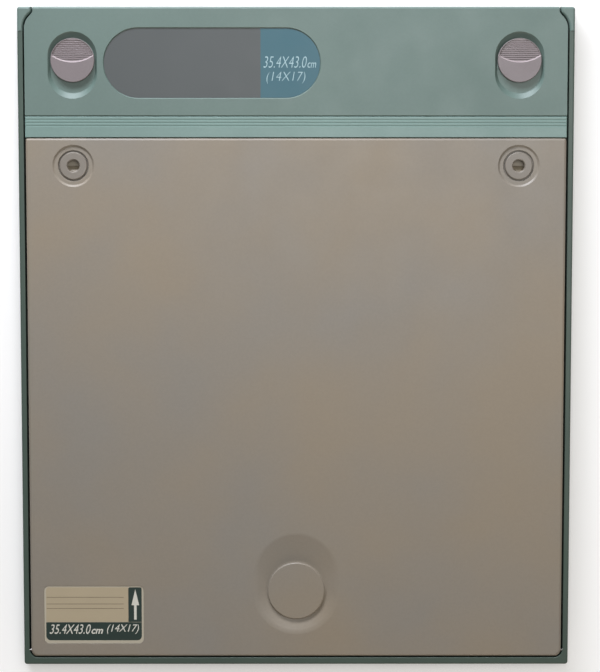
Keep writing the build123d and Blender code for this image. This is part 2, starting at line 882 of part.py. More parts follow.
def make_strip():
    """Trim strip: a grooved bar on two legs that closes the joint of cover and plate."""
    v = v_chamfer
    points = [
        (strip_top_y, z_guide),
        (strip_top_y, z_top - v),
        (strip_top_y - v, z_top),
        (strip_low_y + strip_edge, z_top),
        (strip_low_y, z_top - strip_edge),
        (strip_low_y, z_guide),
        (strip_low_y + edge_wall, z_guide),
        (strip_low_y + edge_wall, z_ceiling),
        (strip_top_y - edge_wall, z_ceiling),
        (strip_top_y - edge_wall, z_guide),
    ]
    face = Plane.YZ * make_face(Polyline(*points, close=True))
    strip = extrude(face, lid_side, both=True)
    for i in range(groove_count):
        y = strip_top_y - groove_first - i * groove_pitch
        strip -= strip_groove(y)
    bevel = Polyline(
        (-lid_side, z_top), (-lid_side, z_top - strip_end_bevel_depth),
        (strip_end_bevel - lid_side, z_top), close=True,
    )
    wedge = Pos(0, cover_y, 0) * extrude(Plane.XZ * make_face(bevel), cover_y - plate_top_y)
    strip -= wedge + mirror(wedge, Plane.YZ)
    ends = block(-lid_side, -lid_side + edge_wall, strip_low_y, strip_top_y, z_inner, z_ceiling)
    strip += ends + mirror(ends, Plane.YZ)
    return strip - slider_slot(slot_play, z_inner, z_ceiling, strip_low_y, strip_top_y)


def strip_groove(y):
    """V groove along the trim strip, centred at y."""
    half = groove_width / 2
    slope = groove_depth / half
    notch = Polyline(
        (y - half - over, z_top + over * slope), (y, z_top - groove_depth),
        (y + half + over, z_top + over * slope), close=True,
    )
    return extrude(Plane.YZ * make_face(notch), lid_side - groove_margin, both=True)


def make_inner_panel():
    x = back_side - skirt_wall - inner_panel_play
    panel = rounded(
        -x, x, panel_hinge_y, panel_lock_y, z_inner, z_guide, lid_radius / 2
    )
    on_plate, on_cover = boss_places()
    for bx, by in on_plate + on_cover:
        panel -= rod(bx, by, z_inner, z_guide, panel_screw_radius + screw_fit)
    for s in (-1, 1):
        for rx, ry in rivet_places(s):
            panel -= rod(rx, ry, z_inner, z_guide, rivet_radius + screw_fit)
    return panel


def make_panel_screws():
    """Low round heads on the underside of the inner panel, beside the pad."""
    on_plate, on_cover = boss_places()
    screws = []
    for x, y in on_plate + on_cover:
        head = rod(x, y, z_inner - panel_screw_head_height, z_inner, panel_screw_head)
        shank = rod(x, y, z_inner, z_inner + panel_screw_length, panel_screw_radius)
        screws.append(head + shank)
    return screws


def make_foil():
    return pad_block(z_foil, z_inner)


def make_pad():
    return pad_block(z_pad, z_foil)


def pad_block(z0, z1):
    return rounded(
        pad_inset - plate_side, plate_side - pad_inset, plate_hinge_y + pad_inset,
        plate_lock_y - pad_inset, z0, z1, pad_radius,
    )


def make_socket_ring(s):
    """Flanged ring seated from inside the back plate; its bore leads a pin to the ramp."""
    top = z_top - socket_ring_sunk
    seat = z_ceiling - socket_dish_depth
    low = seat - socket_flange_height
    profile = Polyline(
        (socket_bore, low),
        (socket_flange, low),
        (socket_flange, seat),
        (socket_ring, seat),
        (socket_ring, top - socket_edge),
        (socket_ring - socket_edge, top),
        (socket_bore + socket_chamfer, top),
        (socket_bore, top - socket_chamfer),
        close=True,
    )
    ring = revolve(Plane.XZ * make_face(profile), Axis.Z)
    return Pos(s * lock_x, socket_y, 0) * ring


def rivet_places(s):
    """Two tabs of a guide, one on each side: near its socket end and behind the trim strip."""
    reach = slider_width / 2 + guide_rail + guide_tab / 2
    low = socket_y - guide_start + guide_tab_length / 2 + rivet_margin
    high = cover_y + edge_wall + guide_tab_length / 2 + rivet_margin
    return [(s * lock_x - reach, low), (s * lock_x + reach, high)]


def make_guide(s):
    """Channel on the inner panel: floor, two rails, rivet tabs and the lug for the spring."""
    half = slider_width / 2 + guide_rail
    start = socket_y - guide_start
    stop = panel_lock_y
    floor_z = z_guide + guide_floor
    guide = block(-half, half, start, stop, z_guide, floor_z)
    for k in (-1, 1):
        x0, x1 = sorted((k * (slider_width / 2 + slide_play), k * half))
        guide += block(x0, x1, start, stop, floor_z, floor_z + guide_rail_height)
    for rx, ry in rivet_places(1):
        x = rx - lock_x
        guide += block(
            x - guide_tab / 2 - bond, x + guide_tab / 2 + bond, ry - guide_tab_length / 2,
            ry + guide_tab_length / 2, z_guide, floor_z,
        )
    guide -= block(-slider_width / 2, slider_width / 2, start, stop, floor_z, z_ceiling)
    lug_x = spring_window() / 2 - lug_play
    guide += block(-lug_x, lug_x, lug_y, lug_y + lug_length, floor_z - bond, z_spring_top)
    for rx, ry in rivet_places(1):
        guide -= rod(rx - lock_x, ry, z_guide, floor_z, rivet_radius + screw_fit)
    return Pos(s * lock_x, 0, 0) * guide


def spring_window():
    """Width of the slider's window: the spring and its play."""
    return spring_width + 2 * spring_play


def make_guide_rivets():
    rivets = []
    for s in (-1, 1):
        for x, y in rivet_places(s):
            floor_z = z_guide + guide_floor
            shank = rod(x, y, z_inner, floor_z, rivet_radius)
            rivets.append(shank + rod(x, y, floor_z, floor_z + rivet_head_height, rivet_head))
    return rivets


# ---- locks ----


def make_slider(s):
    """Lock slider: tongue, screw hole for the knob, spring window and the ramp for a pin."""
    half = slider_width / 2
    start = socket_y - slider_start
    bar = block(-half, half, start, tongue_y, z_slider, z_slider_top)
    tip = [
        e
        for e in bar.edges().filter_by(Axis.X)
        if abs(e.center().Y - tongue_y) < near and e.center().Z < z_slider + near
    ]
    bar = chamfer(tip, tongue_bevel)
    ramp_z = z_ceiling - socket_dish_depth - socket_flange_height - ramp_top_play
    ramp_y = socket_y - socket_bore + ramp_inset
    wedge = Plane.YZ * make_face(
        Polyline(
            (start, z_slider),
            (start, ramp_z - ramp_back),
            (start + ramp_back, ramp_z),
            (ramp_y, ramp_z),
            (ramp_y + ramp_run, z_slider),
            close=True,
        )
    )
    web = half - ramp_window_web
    bar -= block(
        -web, web, ramp_y, socket_y + socket_bore + ramp_window_reach, z_slider, z_slider_top
    )
    bar += extrude(wedge, half, both=True)
    window = spring_window() / 2
    bar -= block(-window, window, lug_y - lug_play, spring_end_y, z_slider, z_slider_top)
    bar += block(
        -window, window, spring_end_y, spring_end_y + spring_seat, z_slider, z_spring_top
    )
    bar -= Pos(0, knob_y, z_slider) * Cone(
        screw_head + screw_fit, screw_radius + screw_fit, screw_head - screw_radius,
        align=(Align.CENTER, Align.CENTER, Align.MIN),
    )
    bar -= rod(0, knob_y, z_slider, z_slider_top, screw_radius + screw_fit)
    return Pos(s * lock_x, 0, 0) * bar


def make_knob(s):
    """Thumb knob: round button with a grooved scoop above its smile-shaped lip, and a stem."""
    low = z_recess + knob_lift
    body = rod(0, 0, low, z_top, knob_radius)
    body = chamfer(body.edges().filter_by_position(Axis.Z, z_top, z_top), knob_edge)
    body = body - knob_scoop() - knob_grooves()
    stem_x = knob_stem_x / 2
    stem_y = knob_stem_y / 2
    body += block(-stem_x, stem_x, -stem_y, stem_y, z_slider_top, low + bond)
    body -= rod(0, 0, z_slider_top, z_slider_top + knob_screw_bite, screw_radius + screw_fit)
    return Pos(s * lock_x, knob_y, 0) * body


def scoop_floor(y):
    """Height of the scoop's sloping floor at a distance y from the knob centre."""
    far = knob_radius - knob_scoop_rim
    share = (y - knob_lip_y) / (far - knob_lip_y)
    return z_top - knob_scoop_depth + share * (knob_scoop_depth - knob_scoop_far)


def knob_scoop():
    """Space of the scoop: inside the knob's rim, above its floor and the lip's sloping wall."""
    low = z_top - knob_scoop_depth
    foot = knob_scoop_radius - knob_lip_run
    mouth = foot + knob_lip_run * (knob_scoop_depth + over) / knob_scoop_depth
    swing = Pos(0, knob_lip_y + knob_scoop_radius, low) * Cone(
        foot, mouth, knob_scoop_depth + over, align=(Align.CENTER, Align.CENTER, Align.MIN)
    )
    column = swing & rod(0, 0, low, z_top + over, knob_radius - knob_scoop_rim)
    near_y = knob_lip_y - over
    far_y = knob_radius
    above = Plane.YZ * make_face(
        Polyline(
            (near_y, scoop_floor(near_y)), (far_y, scoop_floor(far_y)),
            (far_y, z_top + over), (near_y, z_top + over),
            close=True,
        )
    )
    return column & extrude(above, knob_radius, both=True)


def knob_grooves():
    """Fine V grooves across the scoop's floor."""
    far = knob_radius - knob_scoop_rim
    half = knob_groove_width / 2
    rise = bond * knob_groove_depth / half
    count = int((far - knob_lip_y - knob_groove_first) / knob_groove_pitch)
    inner = knob_scoop_radius - knob_lip_run - knob_groove_end
    field = rod(0, knob_lip_y + knob_scoop_radius, z_recess, z_top, inner)
    field &= rod(0, 0, z_recess, z_top, far - knob_groove_end)
    grooves = []
    for i in range(count):
        y = knob_lip_y + knob_groove_first + i * knob_groove_pitch
        floor_z = scoop_floor(y)
        notch = Polyline(
            (y - half - bond, floor_z + rise),
            (y, floor_z - knob_groove_depth),
            (y + half + bond, floor_z + rise),
            close=True,
        )
        grooves.append(field & extrude(Plane.YZ * make_face(notch), knob_radius, both=True))
    return grooves


def make_knob_screw(s):
    bite = slider_thickness + knob_screw_bite - knob_screw_end_play
    return flat_screw(s * lock_x, knob_y, z_slider, screw_radius, screw_head, bite)


def make_spring(s):
    """Serpentine spring between the guide's lug and the slider's seat; both end legs lie flat."""
    strip = spring_strip
    pitch = (spring_length - 2 * spring_end_play - strip) / spring_bends
    leg = spring_width - strip - pitch
    first = spring_y + spring_end_play + strip / 2
    plan = Pos(0, first) * Rectangle(leg, strip)
    for i in range(spring_bends):
        y = first + i * pitch
        way = 1 if i % 2 else -1
        ring = Circle(pitch / 2 + strip / 2) - Circle(pitch / 2 - strip / 2)
        half = Pos(way * pitch / 2, 0) * Rectangle(pitch, 2 * pitch)
        plan += Pos(way * leg / 2, y + pitch / 2) * (ring & half)
        plan += Pos(0, y + pitch) * Rectangle(leg, strip)
    return Pos(s * lock_x, 0, z_slider) * extrude(plan, spring_height)


os.makedirs("parts", exist_ok=True)
save("front_frame", make_frame())
corner_left, corner_right = both_sides(make_corner_block())
save("corner_block_left", corner_left)
save("corner_block_right", corner_right)
save("end_sill", make_sill())
save("front_panel", make_front_panel())
save("light_seal", make_seal())
save("front_liner", make_liner())
save("imaging_plate", make_imaging_plate())
save("keeper_left", make_keeper(-1))
save("keeper_right", make_keeper(1))
group("keeper_screws", make_keeper_screws())
pin_left, pin_right = both_sides(make_pin())
save("pivot_pin_left", pin_left)
save("pivot_pin_right", pin_right)

save("back_plate", make_back_plate())
save("lock_cover", make_cover())
save("trim_strip", make_strip())
save("inner_panel", make_inner_panel())
group("panel_screws", make_panel_screws())
save("lead_foil", make_foil())
save("pressure_pad", make_pad())
save("nameplate", make_nameplate())
save("size_label", make_label())
group("guide_rivets", make_guide_rivets())

for hand, s in (("left", -1), ("right", 1)):
    save(f"socket_ring_{hand}", make_socket_ring(s))
    save(f"lock_guide_{hand}", make_guide(s))
    save(f"lock_slider_{hand}", make_slider(s))
    save(f"lock_knob_{hand}", make_knob(s))
    save(f"knob_screw_{hand}", make_knob_screw(s))
    save(f"lock_spring_{hand}", make_spring(s))
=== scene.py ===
import math
import random
from functools import partial

import bmesh
import bpy
from bpy.props import FloatProperty, FloatVectorProperty, PointerProperty
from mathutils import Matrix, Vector


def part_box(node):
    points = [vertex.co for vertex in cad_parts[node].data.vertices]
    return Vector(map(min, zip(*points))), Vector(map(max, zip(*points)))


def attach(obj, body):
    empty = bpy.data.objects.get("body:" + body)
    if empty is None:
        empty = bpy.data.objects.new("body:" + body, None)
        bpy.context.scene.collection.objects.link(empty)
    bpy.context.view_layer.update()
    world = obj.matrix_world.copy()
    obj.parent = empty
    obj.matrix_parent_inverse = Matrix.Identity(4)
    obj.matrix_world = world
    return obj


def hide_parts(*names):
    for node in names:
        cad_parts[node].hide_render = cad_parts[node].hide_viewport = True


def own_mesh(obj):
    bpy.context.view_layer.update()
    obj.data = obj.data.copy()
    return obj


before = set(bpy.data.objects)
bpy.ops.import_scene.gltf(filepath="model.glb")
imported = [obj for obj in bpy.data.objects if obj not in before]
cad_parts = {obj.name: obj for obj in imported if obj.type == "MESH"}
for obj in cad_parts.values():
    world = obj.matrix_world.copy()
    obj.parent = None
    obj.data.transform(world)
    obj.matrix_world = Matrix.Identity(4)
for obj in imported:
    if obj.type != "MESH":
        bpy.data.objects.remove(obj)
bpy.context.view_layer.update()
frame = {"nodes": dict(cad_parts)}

bl_info = {
    "name": "Imaging-plate cassette",
    "version": (1, 0, 0),
    "blender": (4, 5, 0),
    "location": "3D View > Sidebar > Cassette",
    "description": "Finishes, felts, screws, printing and stage for an x-ray plate cassette",
    "category": "Object",
}

MM = 0.001
NODES = frame["nodes"]


# ---- colour and node helpers ----

# The two colour sockets of a Mix node, whose names it gives to other sockets too.
MIX_A, MIX_B = 6, 7


def linear(hex_colour):
    """Scene-linear red, green and blue of an sRGB hex colour."""
    channels = [int(hex_colour[i:i + 2], 16) / 255 for i in (0, 2, 4)]
    return tuple(c / 12.92 if c <= 0.04045 else ((c + 0.055) / 1.055) ** 2.4 for c in channels)


def rgba(colour, gain=1.0):
    """A colour made lighter or darker by gain, as a socket takes it."""
    return tuple(min(1.0, c * gain) for c in colour) + (1.0,)


def add_node(tree, kind, inputs=None, **settings):
    """Adds one shader node: settings are its properties, inputs its values or what feeds them.

    An input is fed by a socket, or by a node, which gives its first live output.
    """
    node = tree.nodes.new("ShaderNode" + kind)
    for name, value in settings.items():
        setattr(node, name, value)
    for key, value in (inputs or {}).items():
        if isinstance(value, bpy.types.Node):
            value = next(socket for socket in value.outputs if socket.enabled)
        if isinstance(value, bpy.types.NodeSocket):
            tree.links.new(value, node.inputs[key])
        else:
            node.inputs[key].default_value = value
    return node


def emptied(owner):
    """Clears the nodes of a material or world, and gives what adds a node to it."""
    owner.use_nodes = True
    owner.node_tree.nodes.clear()
    return partial(add_node, owner.node_tree)


def new_material(name):
    """An empty material, what adds a node to it, and the place of each point in metres."""
    material = bpy.data.materials.new(name)
    add = emptied(material)
    return material, add, add("TexCoord").outputs["Object"]


def dress(material, *names):
    """Gives CAD nodes a material."""
    for name in names:
        data = NODES[name].data
        data.materials.clear()
        data.materials.append(material)


# ---- materials ----

# Sizes of the patterns, in metres. A speck of pigment is so many grains of the moulding wide.
PIGMENT_DRIFT, FLOW_SMEAR, SPECK = 110 * MM, 24 * MM, 1.6
FILM_CLOUD, FILM_STIPPLE = 18 * MM, 0.7 * MM
ROLL_STAIN = 35 * MM
PAINT_PEEL, PAINT_CLOUD = 1.4 * MM, 30 * MM
FELT_CLUMP = 9 * MM
PANEL_CLOUD = 60 * MM
PHOSPHOR_GRAIN, PHOSPHOR_HANDLING = 0.9 * MM, 45 * MM
PAPER_FIBRE = 2.2 * MM
# Bands of a wave texture to a metre at scale 1, about 20 / (2 pi).
WAVE_BANDS = 3.2

# Painted light on a thumb grip: how much painted highlight its lip and the ridges behind it take,
# and how much painted shade its grooves take.
LIP_HIGHLIGHT, RIDGE_HIGHLIGHT, GROOVE_SHADE = 0.75, 0.28, 0.42
HIGHLIGHT_GAIN, SHADE_GAIN = 2.1, 0.25


def moulded_plastic(name, colour, roughness, grain=1.0, grain_height=0.02, edge_wear_highlight_gain=1.18,
                    cast=None, edge=0.3, thumb_lip=None):
    """ABS moulded against a spark-eroded cavity: an even satin with a fine pebbled grain.

    The real grain is near 0.15 mm and would not show, so it is drawn at grain mm. The colour
    drifts a little over the part, as pigment does in the flow, and edges go paler: partly handling
    wear, partly a painted highlight.
    cast is a second colour that the drift leans to, edge the radius of its softened edges in mm.
    thumb_lip is the centre, radius and width of an arched lip: the lip and the ridges behind it
    get a painted highlight, and the flanks of the grooves a painted shade.
    """
    material, add, place = new_material(name)
    drift = add("TexNoise", {
        "Vector": place, "Scale": 1 / PIGMENT_DRIFT, "Detail": 3.0, "Roughness": 0.5,
    })
    speck = add("TexNoise", {
        "Vector": place, "Scale": 1 / (grain * SPECK * MM), "Detail": 2.0, "Roughness": 0.6,
    })
    smear = add("TexNoise", {
        "Vector": place, "Scale": 1 / FLOW_SMEAR, "Detail": 4.0, "Roughness": 0.62,
    })
    base = add("Mix", {
        "Factor": add("MapRange", {"Value": drift, "From Min": 0.32, "From Max": 0.68}),
        MIX_A: rgba(colour, 0.95), MIX_B: rgba(cast or colour, 1.04),
    }, data_type="RGBA")
    flecked = add("Mix", {
        "Factor": add("MapRange", {
            "Value": speck, "From Min": 0.35, "From Max": 0.65, "To Min": 0.0, "To Max": 0.07,
        }),
        MIX_A: base, MIX_B: rgba(colour, 0.45),
    }, data_type="RGBA")
    soft = add("Bevel", {"Radius": edge * MM}, samples=4)
    flat = add("NewGeometry").outputs["Normal"]
    bend = add("VectorMath", {0: soft, 1: flat}, operation="DOT_PRODUCT")
    # Edges go paler: partly handling wear, partly a painted highlight.
    edge_wear_highlight_mask = add("MapRange", {
        "Value": bend, "From Min": 0.995, "From Max": 0.9, "To Min": 0.0, "To Max": 0.6,
    })
    finished = add("Mix", {
        "Factor": edge_wear_highlight_mask, MIX_A: flecked, MIX_B: rgba(colour, edge_wear_highlight_gain),
    }, data_type="RGBA")
    # Painted highlight and painted shade on a thumb grip.
    if thumb_lip:
        finished = painted_grip_light(add, finished, place, colour, *thumb_lip)
    gloss = add("MapRange", {
        "Value": smear, "From Min": 0.3, "From Max": 0.7,
        "To Min": roughness - 0.05, "To Max": roughness + 0.06,
    })
    pebble = add("TexNoise", {
        "Vector": place, "Scale": 1 / (grain * MM), "Detail": 3.0, "Roughness": 0.55,
    })
    relief = add("Bump", {
        "Strength": 0.55, "Distance": grain_height * MM, "Height": pebble, "Normal": soft,
    })
    shader = add("BsdfPrincipled", {
        "Base Color": finished, "Roughness": gloss, "IOR": 1.53, "Normal": relief,
    })
    add("OutputMaterial", {"Surface": shader})
    return material


def painted_grip_light(add, finished, place, colour, centre, radius, width):
    """Painted light on a thumb grip: painted highlight on its lip and ridges, painted shade on its
    groove flanks.
    """
    plan = add("VectorMath", {
        0: add("VectorMath", {0: place}, operation="ABSOLUTE"),
        1: (1.0, 1.0, 0.0),
    }, operation="MULTIPLY")
    away = add("VectorMath", {0: plan, 1: centre}, operation="DISTANCE")
    on_lip = add("Math", {0: away, 1: radius - width / 2, 2: width / 2}, operation="COMPARE")
    behind = add("Math", {0: away, 1: radius - 1.1 * width}, operation="LESS_THAN")
    lean = add("Math", {
        0: add("SeparateXYZ", {"Vector": add("TexCoord").outputs["Normal"]}).outputs["Y"],
    }, operation="ABSOLUTE")
    # Painted shade on the flanks of the grooves.
    flank = add("MapRange", {
        "Value": lean, "From Min": 0.3, "From Max": 0.6, "To Min": 0.0, "To Max": GROOVE_SHADE,
    })
    groove_shade = add("Math", {0: flank, 1: behind}, operation="MULTIPLY")
    # Painted highlight on the lip and on the ridges behind it.
    painted_highlight = add("Math", {
        0: add("Math", {0: on_lip, 1: LIP_HIGHLIGHT}, operation="MULTIPLY"),
        1: add("Math", {0: behind, 1: RIDGE_HIGHLIGHT}, operation="MULTIPLY"),
    }, operation="MAXIMUM")
    pale = add("Mix", {
        "Factor": painted_highlight, MIX_A: finished, MIX_B: rgba(colour, HIGHLIGHT_GAIN),
    }, data_type="RGBA")
    return add("Mix", {
        "Factor": groove_shade, MIX_A: pale, MIX_B: rgba(colour, SHADE_GAIN),
    }, data_type="RGBA")


def printed_film(name, colour, roughness, mottle=0.03):
    """Screen-printed polyester film: flat colour under a satin hard coat, almost without grain.

    The stipple that the screen's mesh leaves is near 0.1 mm, so it is drawn coarser to show.
    """
    material, add, place = new_material(name)
    cloud = add("TexNoise", {
        "Vector": place, "Scale": 1 / FILM_CLOUD, "Detail": 4.0, "Roughness": 0.6,
    })
    stipple = add("TexNoise", {"Vector": place, "Scale": 1 / FILM_STIPPLE, "Detail": 1.0})
    tint = add("Mix", {
        "Factor": cloud, MIX_A: rgba(colour, 1 - mottle), MIX_B: rgba(colour, 1 + mottle),
    }, data_type="RGBA")
    relief = add("Bump", {"Strength": 0.25, "Distance": 0.01 * MM, "Height": stipple})
    gloss = add("MapRange", {
        "Value": cloud, "To Min": roughness - 0.06, "To Max": roughness + 0.06,
    })
    shader = add("BsdfPrincipled", {
        "Base Color": tint, "Roughness": gloss, "IOR": 1.57, "Normal": relief,
    })
    add("OutputMaterial", {"Surface": shader})
    return material


def rolled_metal(name, colour, roughness, line_gap=0.5, line_height=0.006,
                 along=(1.0, 1.0, 1.0), stain=0.08):
    """Cold-rolled sheet: fine lines along the rolling direction and faint cloudy stains.

    Real roll lines are about 0.05 mm apart, so they are drawn line_gap mm apart to show. along
    is under 1 in the rolling direction, and 1 all round where cold heading has left no lines.
    """
    material, add, place = new_material(name)
    stretch = add("Mapping", {"Vector": place, "Scale": along})
    lines = add("TexNoise", {"Vector": stretch, "Scale": 1 / (line_gap * MM), "Detail": 3.0})
    cloud = add("TexNoise", {
        "Vector": place, "Scale": 1 / ROLL_STAIN, "Detail": 5.0, "Roughness": 0.65,
    })
    tint = add("Mix", {
        "Factor": cloud, MIX_A: rgba(colour, 1 - stain), MIX_B: rgba(colour, 1 + stain),
    }, data_type="RGBA")
    gloss = add("MapRange", {
        "Value": lines, "From Min": 0.3, "From Max": 0.7,
        "To Min": roughness - 0.08, "To Max": roughness + 0.08,
    })
    soft = add("Bevel", {"Radius": 0.12 * MM}, samples=4)
    relief = add("Bump", {
        "Strength": 0.5, "Distance": line_height * MM, "Height": lines, "Normal": soft,
    })
    shader = add("BsdfPrincipled", {
        "Base Color": tint, "Metallic": 1.0, "Roughness": gloss, "Normal": relief,
    })
    add("OutputMaterial", {"Surface": shader})
    return material


def sprayed_paint(name, colour):
    """Matt paint sprayed on sheet: a fine orange peel, with cloudy spots of less gloss."""
    material, add, place = new_material(name)
    peel = add("TexNoise", {"Vector": place, "Scale": 1 / PAINT_PEEL, "Detail": 1.0})
    cloud = add("TexNoise", {
        "Vector": place, "Scale": 1 / PAINT_CLOUD, "Detail": 4.0, "Roughness": 0.6,
    })
    tint = add("Mix", {
        "Factor": cloud, MIX_A: rgba(colour, 0.9), MIX_B: rgba(colour, 1.12),
    }, data_type="RGBA")
    gloss = add("MapRange", {
        "Value": cloud, "From Min": 0.3, "From Max": 0.7, "To Min": 0.5, "To Max": 0.66,
    })
    soft = add("Bevel", {"Radius": 0.15 * MM}, samples=4)
    relief = add("Bump", {"Strength": 0.4, "Distance": 0.02 * MM, "Height": peel, "Normal": soft})
    shader = add("BsdfPrincipled", {
        "Base Color": tint, "Roughness": gloss, "IOR": 1.5, "Normal": relief,
    })
    add("OutputMaterial", {"Surface": shader})
    return material


def needled_felt(name, colour, fibre, fuzz_height):
    """Needle-punched polyester felt: matte, tangled fibres, with a soft pale sheen at a slant.

    Fibres are 0.02 mm thick, so the tangle is drawn with strands fibre mm apart.
    """
    material, add, place = new_material(name)
    tangle = add("TexNoise", {
        "Vector": place, "Scale": 1 / (fibre * MM), "Detail": 6.0, "Roughness": 0.75,
        "Distortion": 1.6,
    })
    clump = add("TexNoise", {"Vector": place, "Scale": 1 / FELT_CLUMP, "Detail": 3.0})
    strands = add("MapRange", {"Value": tangle, "From Min": 0.35, "From Max": 0.65})
    tint = add("Mix", {
        "Factor": strands, MIX_A: rgba(colour, 0.6), MIX_B: rgba(colour, 1.7),
    }, data_type="RGBA")
    both = add("Math", {0: tangle, 1: clump}, operation="ADD")
    relief = add("Bump", {"Strength": 0.8, "Distance": fuzz_height * MM, "Height": both})
    shader = add("BsdfPrincipled", {
        "Base Color": tint, "Roughness": 0.95, "IOR": 1.5,
        "Sheen Weight": 0.35, "Sheen Roughness": 0.5, "Normal": relief,
    })
    add("OutputMaterial", {"Surface": shader})
    return material


def coated_panel(name, colour, yarn):
    """Painted fibre-composite sheet: satin coat with the cloth's weave just showing through.

    yarn is the spacing of the cloth's yarns in mm.
    """
    material, add, place = new_material(name)
    warp, weft = (
        add("TexWave", {
            "Vector": place, "Scale": 1 / (WAVE_BANDS * yarn * MM), "Distortion": 0.6,
            "Detail": 1.0, "Detail Scale": 2.0,
        }, bands_direction=across).outputs["Fac"]
        for across in ("X", "Y")
    )
    cloth = add("Math", {0: warp, 1: weft}, operation="MULTIPLY")
    cloud = add("TexNoise", {"Vector": place, "Scale": 1 / PANEL_CLOUD, "Detail": 4.0})
    tint = add("Mix", {
        "Factor": cloud, MIX_A: rgba(colour, 0.96), MIX_B: rgba(colour, 1.03),
    }, data_type="RGBA")
    soft = add("Bevel", {"Radius": 0.3 * MM}, samples=4)
    relief = add("Bump", {"Strength": 0.3, "Distance": 0.02 * MM, "Height": cloth, "Normal": soft})
    gloss = add("MapRange", {"Value": cloud, "To Min": 0.36, "To Max": 0.5})
    shader = add("BsdfPrincipled", {
        "Base Color": tint, "Roughness": gloss, "IOR": 1.5, "Normal": relief,
    })
    add("OutputMaterial", {"Surface": shader})
    return material


def phosphor_sheet(name, face, back, edge):
    """Storage phosphor on a plastic carrier: white screen in front, dark backing behind.

    The front is an even, faintly grainy white under clear film, the back a satin dark coat,
    and the rim has the pale resin edge that seals the layers. The phosphor's grains are finer
    than 0.01 mm, so they are drawn much coarser to show.
    """
    material, add, place = new_material(name)
    crystal = add("TexNoise", {"Vector": place, "Scale": 1 / PHOSPHOR_GRAIN, "Detail": 2.0})
    handling = add("TexNoise", {
        "Vector": place, "Scale": 1 / PHOSPHOR_HANDLING, "Detail": 5.0, "Roughness": 0.6,
    })
    up = add("SeparateXYZ", {"Vector": add("TexCoord").outputs["Normal"]}).outputs["Z"]
    is_back = add("Math", {0: up, 1: 0.5}, operation="GREATER_THAN")
    is_front = add("Math", {0: up, 1: -0.5}, operation="LESS_THAN")
    rim = add("Mix", {"Factor": is_back, MIX_A: rgba(edge), MIX_B: rgba(back)}, data_type="RGBA")
    sides = add("Mix", {"Factor": is_front, MIX_A: rim, MIX_B: rgba(face)}, data_type="RGBA")
    grain = add("MapRange", {
        "Value": crystal, "From Min": 0.3, "From Max": 0.7, "To Min": 0.93, "To Max": 1.07,
    })
    tint = add("VectorMath", {0: sides, "Scale": grain}, operation="SCALE")
    gloss = add("MapRange", {
        "Value": handling, "From Min": 0.3, "From Max": 0.7, "To Min": 0.3, "To Max": 0.48,
    })
    relief = add("Bump", {"Strength": 0.3, "Distance": 0.01 * MM, "Height": crystal})
    shader = add("BsdfPrincipled", {
        "Base Color": tint, "Roughness": gloss, "IOR": 1.57, "Normal": relief,
    })
    add("OutputMaterial", {"Surface": shader})
    return material


# ---- mesh helpers ----

# Felts: steps of a rounded corner, its least radius, and how near the cut edge they fray.
FELT_BEND_STEPS = 6
TIGHTEST_BEND = 0.4 * MM
FRAYED = 1.5 * MM
# Points nearer than this are one: on a CAD node in metres, on letters in their own units.
SPLIT, WELD = 1e-6, 1e-4


def put(name, data):
    """A new object in the scene."""
    made = bpy.data.objects.new(name, data)
    bpy.context.scene.collection.objects.link(made)
    return made


def shaped(name, work, *materials):
    """A new object with the shape of a bmesh, which this uses up."""
    data = bpy.data.meshes.new(name)
    work.to_mesh(data)
    work.free()
    for material in materials:
        data.materials.append(material)
    return put(name, data)


def mesh_object(name, work, material, body, smooth=False):
    """Turns a bmesh into a piece that rides on a body and has the given material."""
    bmesh.ops.recalc_face_normals(work, faces=work.faces)
    piece = shaped(name, work, material)
    if smooth:
        piece.data.shade_smooth()
    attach(piece, body)
    return piece


def side_by_side(first, second):
    """Walks two closed rings together: each point of both, with the one after it."""
    return zip(first, first[1:] + first[:1], second, second[1:] + second[:1])


def prism(outline, low, high):
    """Closed solid over an outline of (x, y) points, between two heights, in metres."""
    work = bmesh.new()
    base, top = ([work.verts.new((x, y, z)) for x, y in outline] for z in (low, high))
    work.faces.new(base[::-1])
    work.faces.new(top)
    for a, b, above_a, above_b in side_by_side(base, top):
        work.faces.new((a, b, above_b, above_a))
    return work


def arc(cx, cy, radius, start, end, steps):
    """Points on an arc, angles in degrees."""
    turns = [math.radians(start + (end - start) * i / steps) for i in range(steps + 1)]
    return [(cx + radius * math.cos(turn), cy + radius * math.sin(turn)) for turn in turns]


def corners(x0, y0, x1, y1):
    """Corners of a rectangle from lower left anticlockwise: point, way in, first angle."""
    return [(x0, y0, 1, 1, 180), (x1, y0, -1, 1, 270), (x1, y1, -1, -1, 0), (x0, y1, 1, -1, 90)]


def rounded_outline(x0, y0, x1, y1, radii, steps=8):
    """Rectangle with its own radius at each corner, from lower left anticlockwise."""
    points = []
    for (x, y, sx, sy, start), r in zip(corners(x0, y0, x1, y1), radii):
        if r <= 0:
            points.append((x, y))
        else:
            points += arc(x + sx * r, y + sy * r, r, start, start + 90, steps)
    return points


def round_loop(x0, y0, x1, y1, radius, steps, parts_of):
    """Rounded rectangle from lower right anticlockwise, with points along its straight runs.

    parts_of says how many parts a run of a given length has.
    """
    first, *others = corners(x0, y0, x1, y1)
    bends = [
        arc(x + sx * radius, y + sy * radius, radius, start, start + 90, steps)
        for x, y, sx, sy, start in (*others, first)
    ]
    points = []
    for bend, following in zip(bends, bends[1:] + bends[:1]):
        points += bend
        (ax, ay), (bx, by) = bend[-1], following[0]
        parts = parts_of(math.dist(bend[-1], following[0]))
        for k in range(1, parts):
            t = k / parts
            points.append((ax + (bx - ax) * t, ay + (by - ay) * t))
    return points


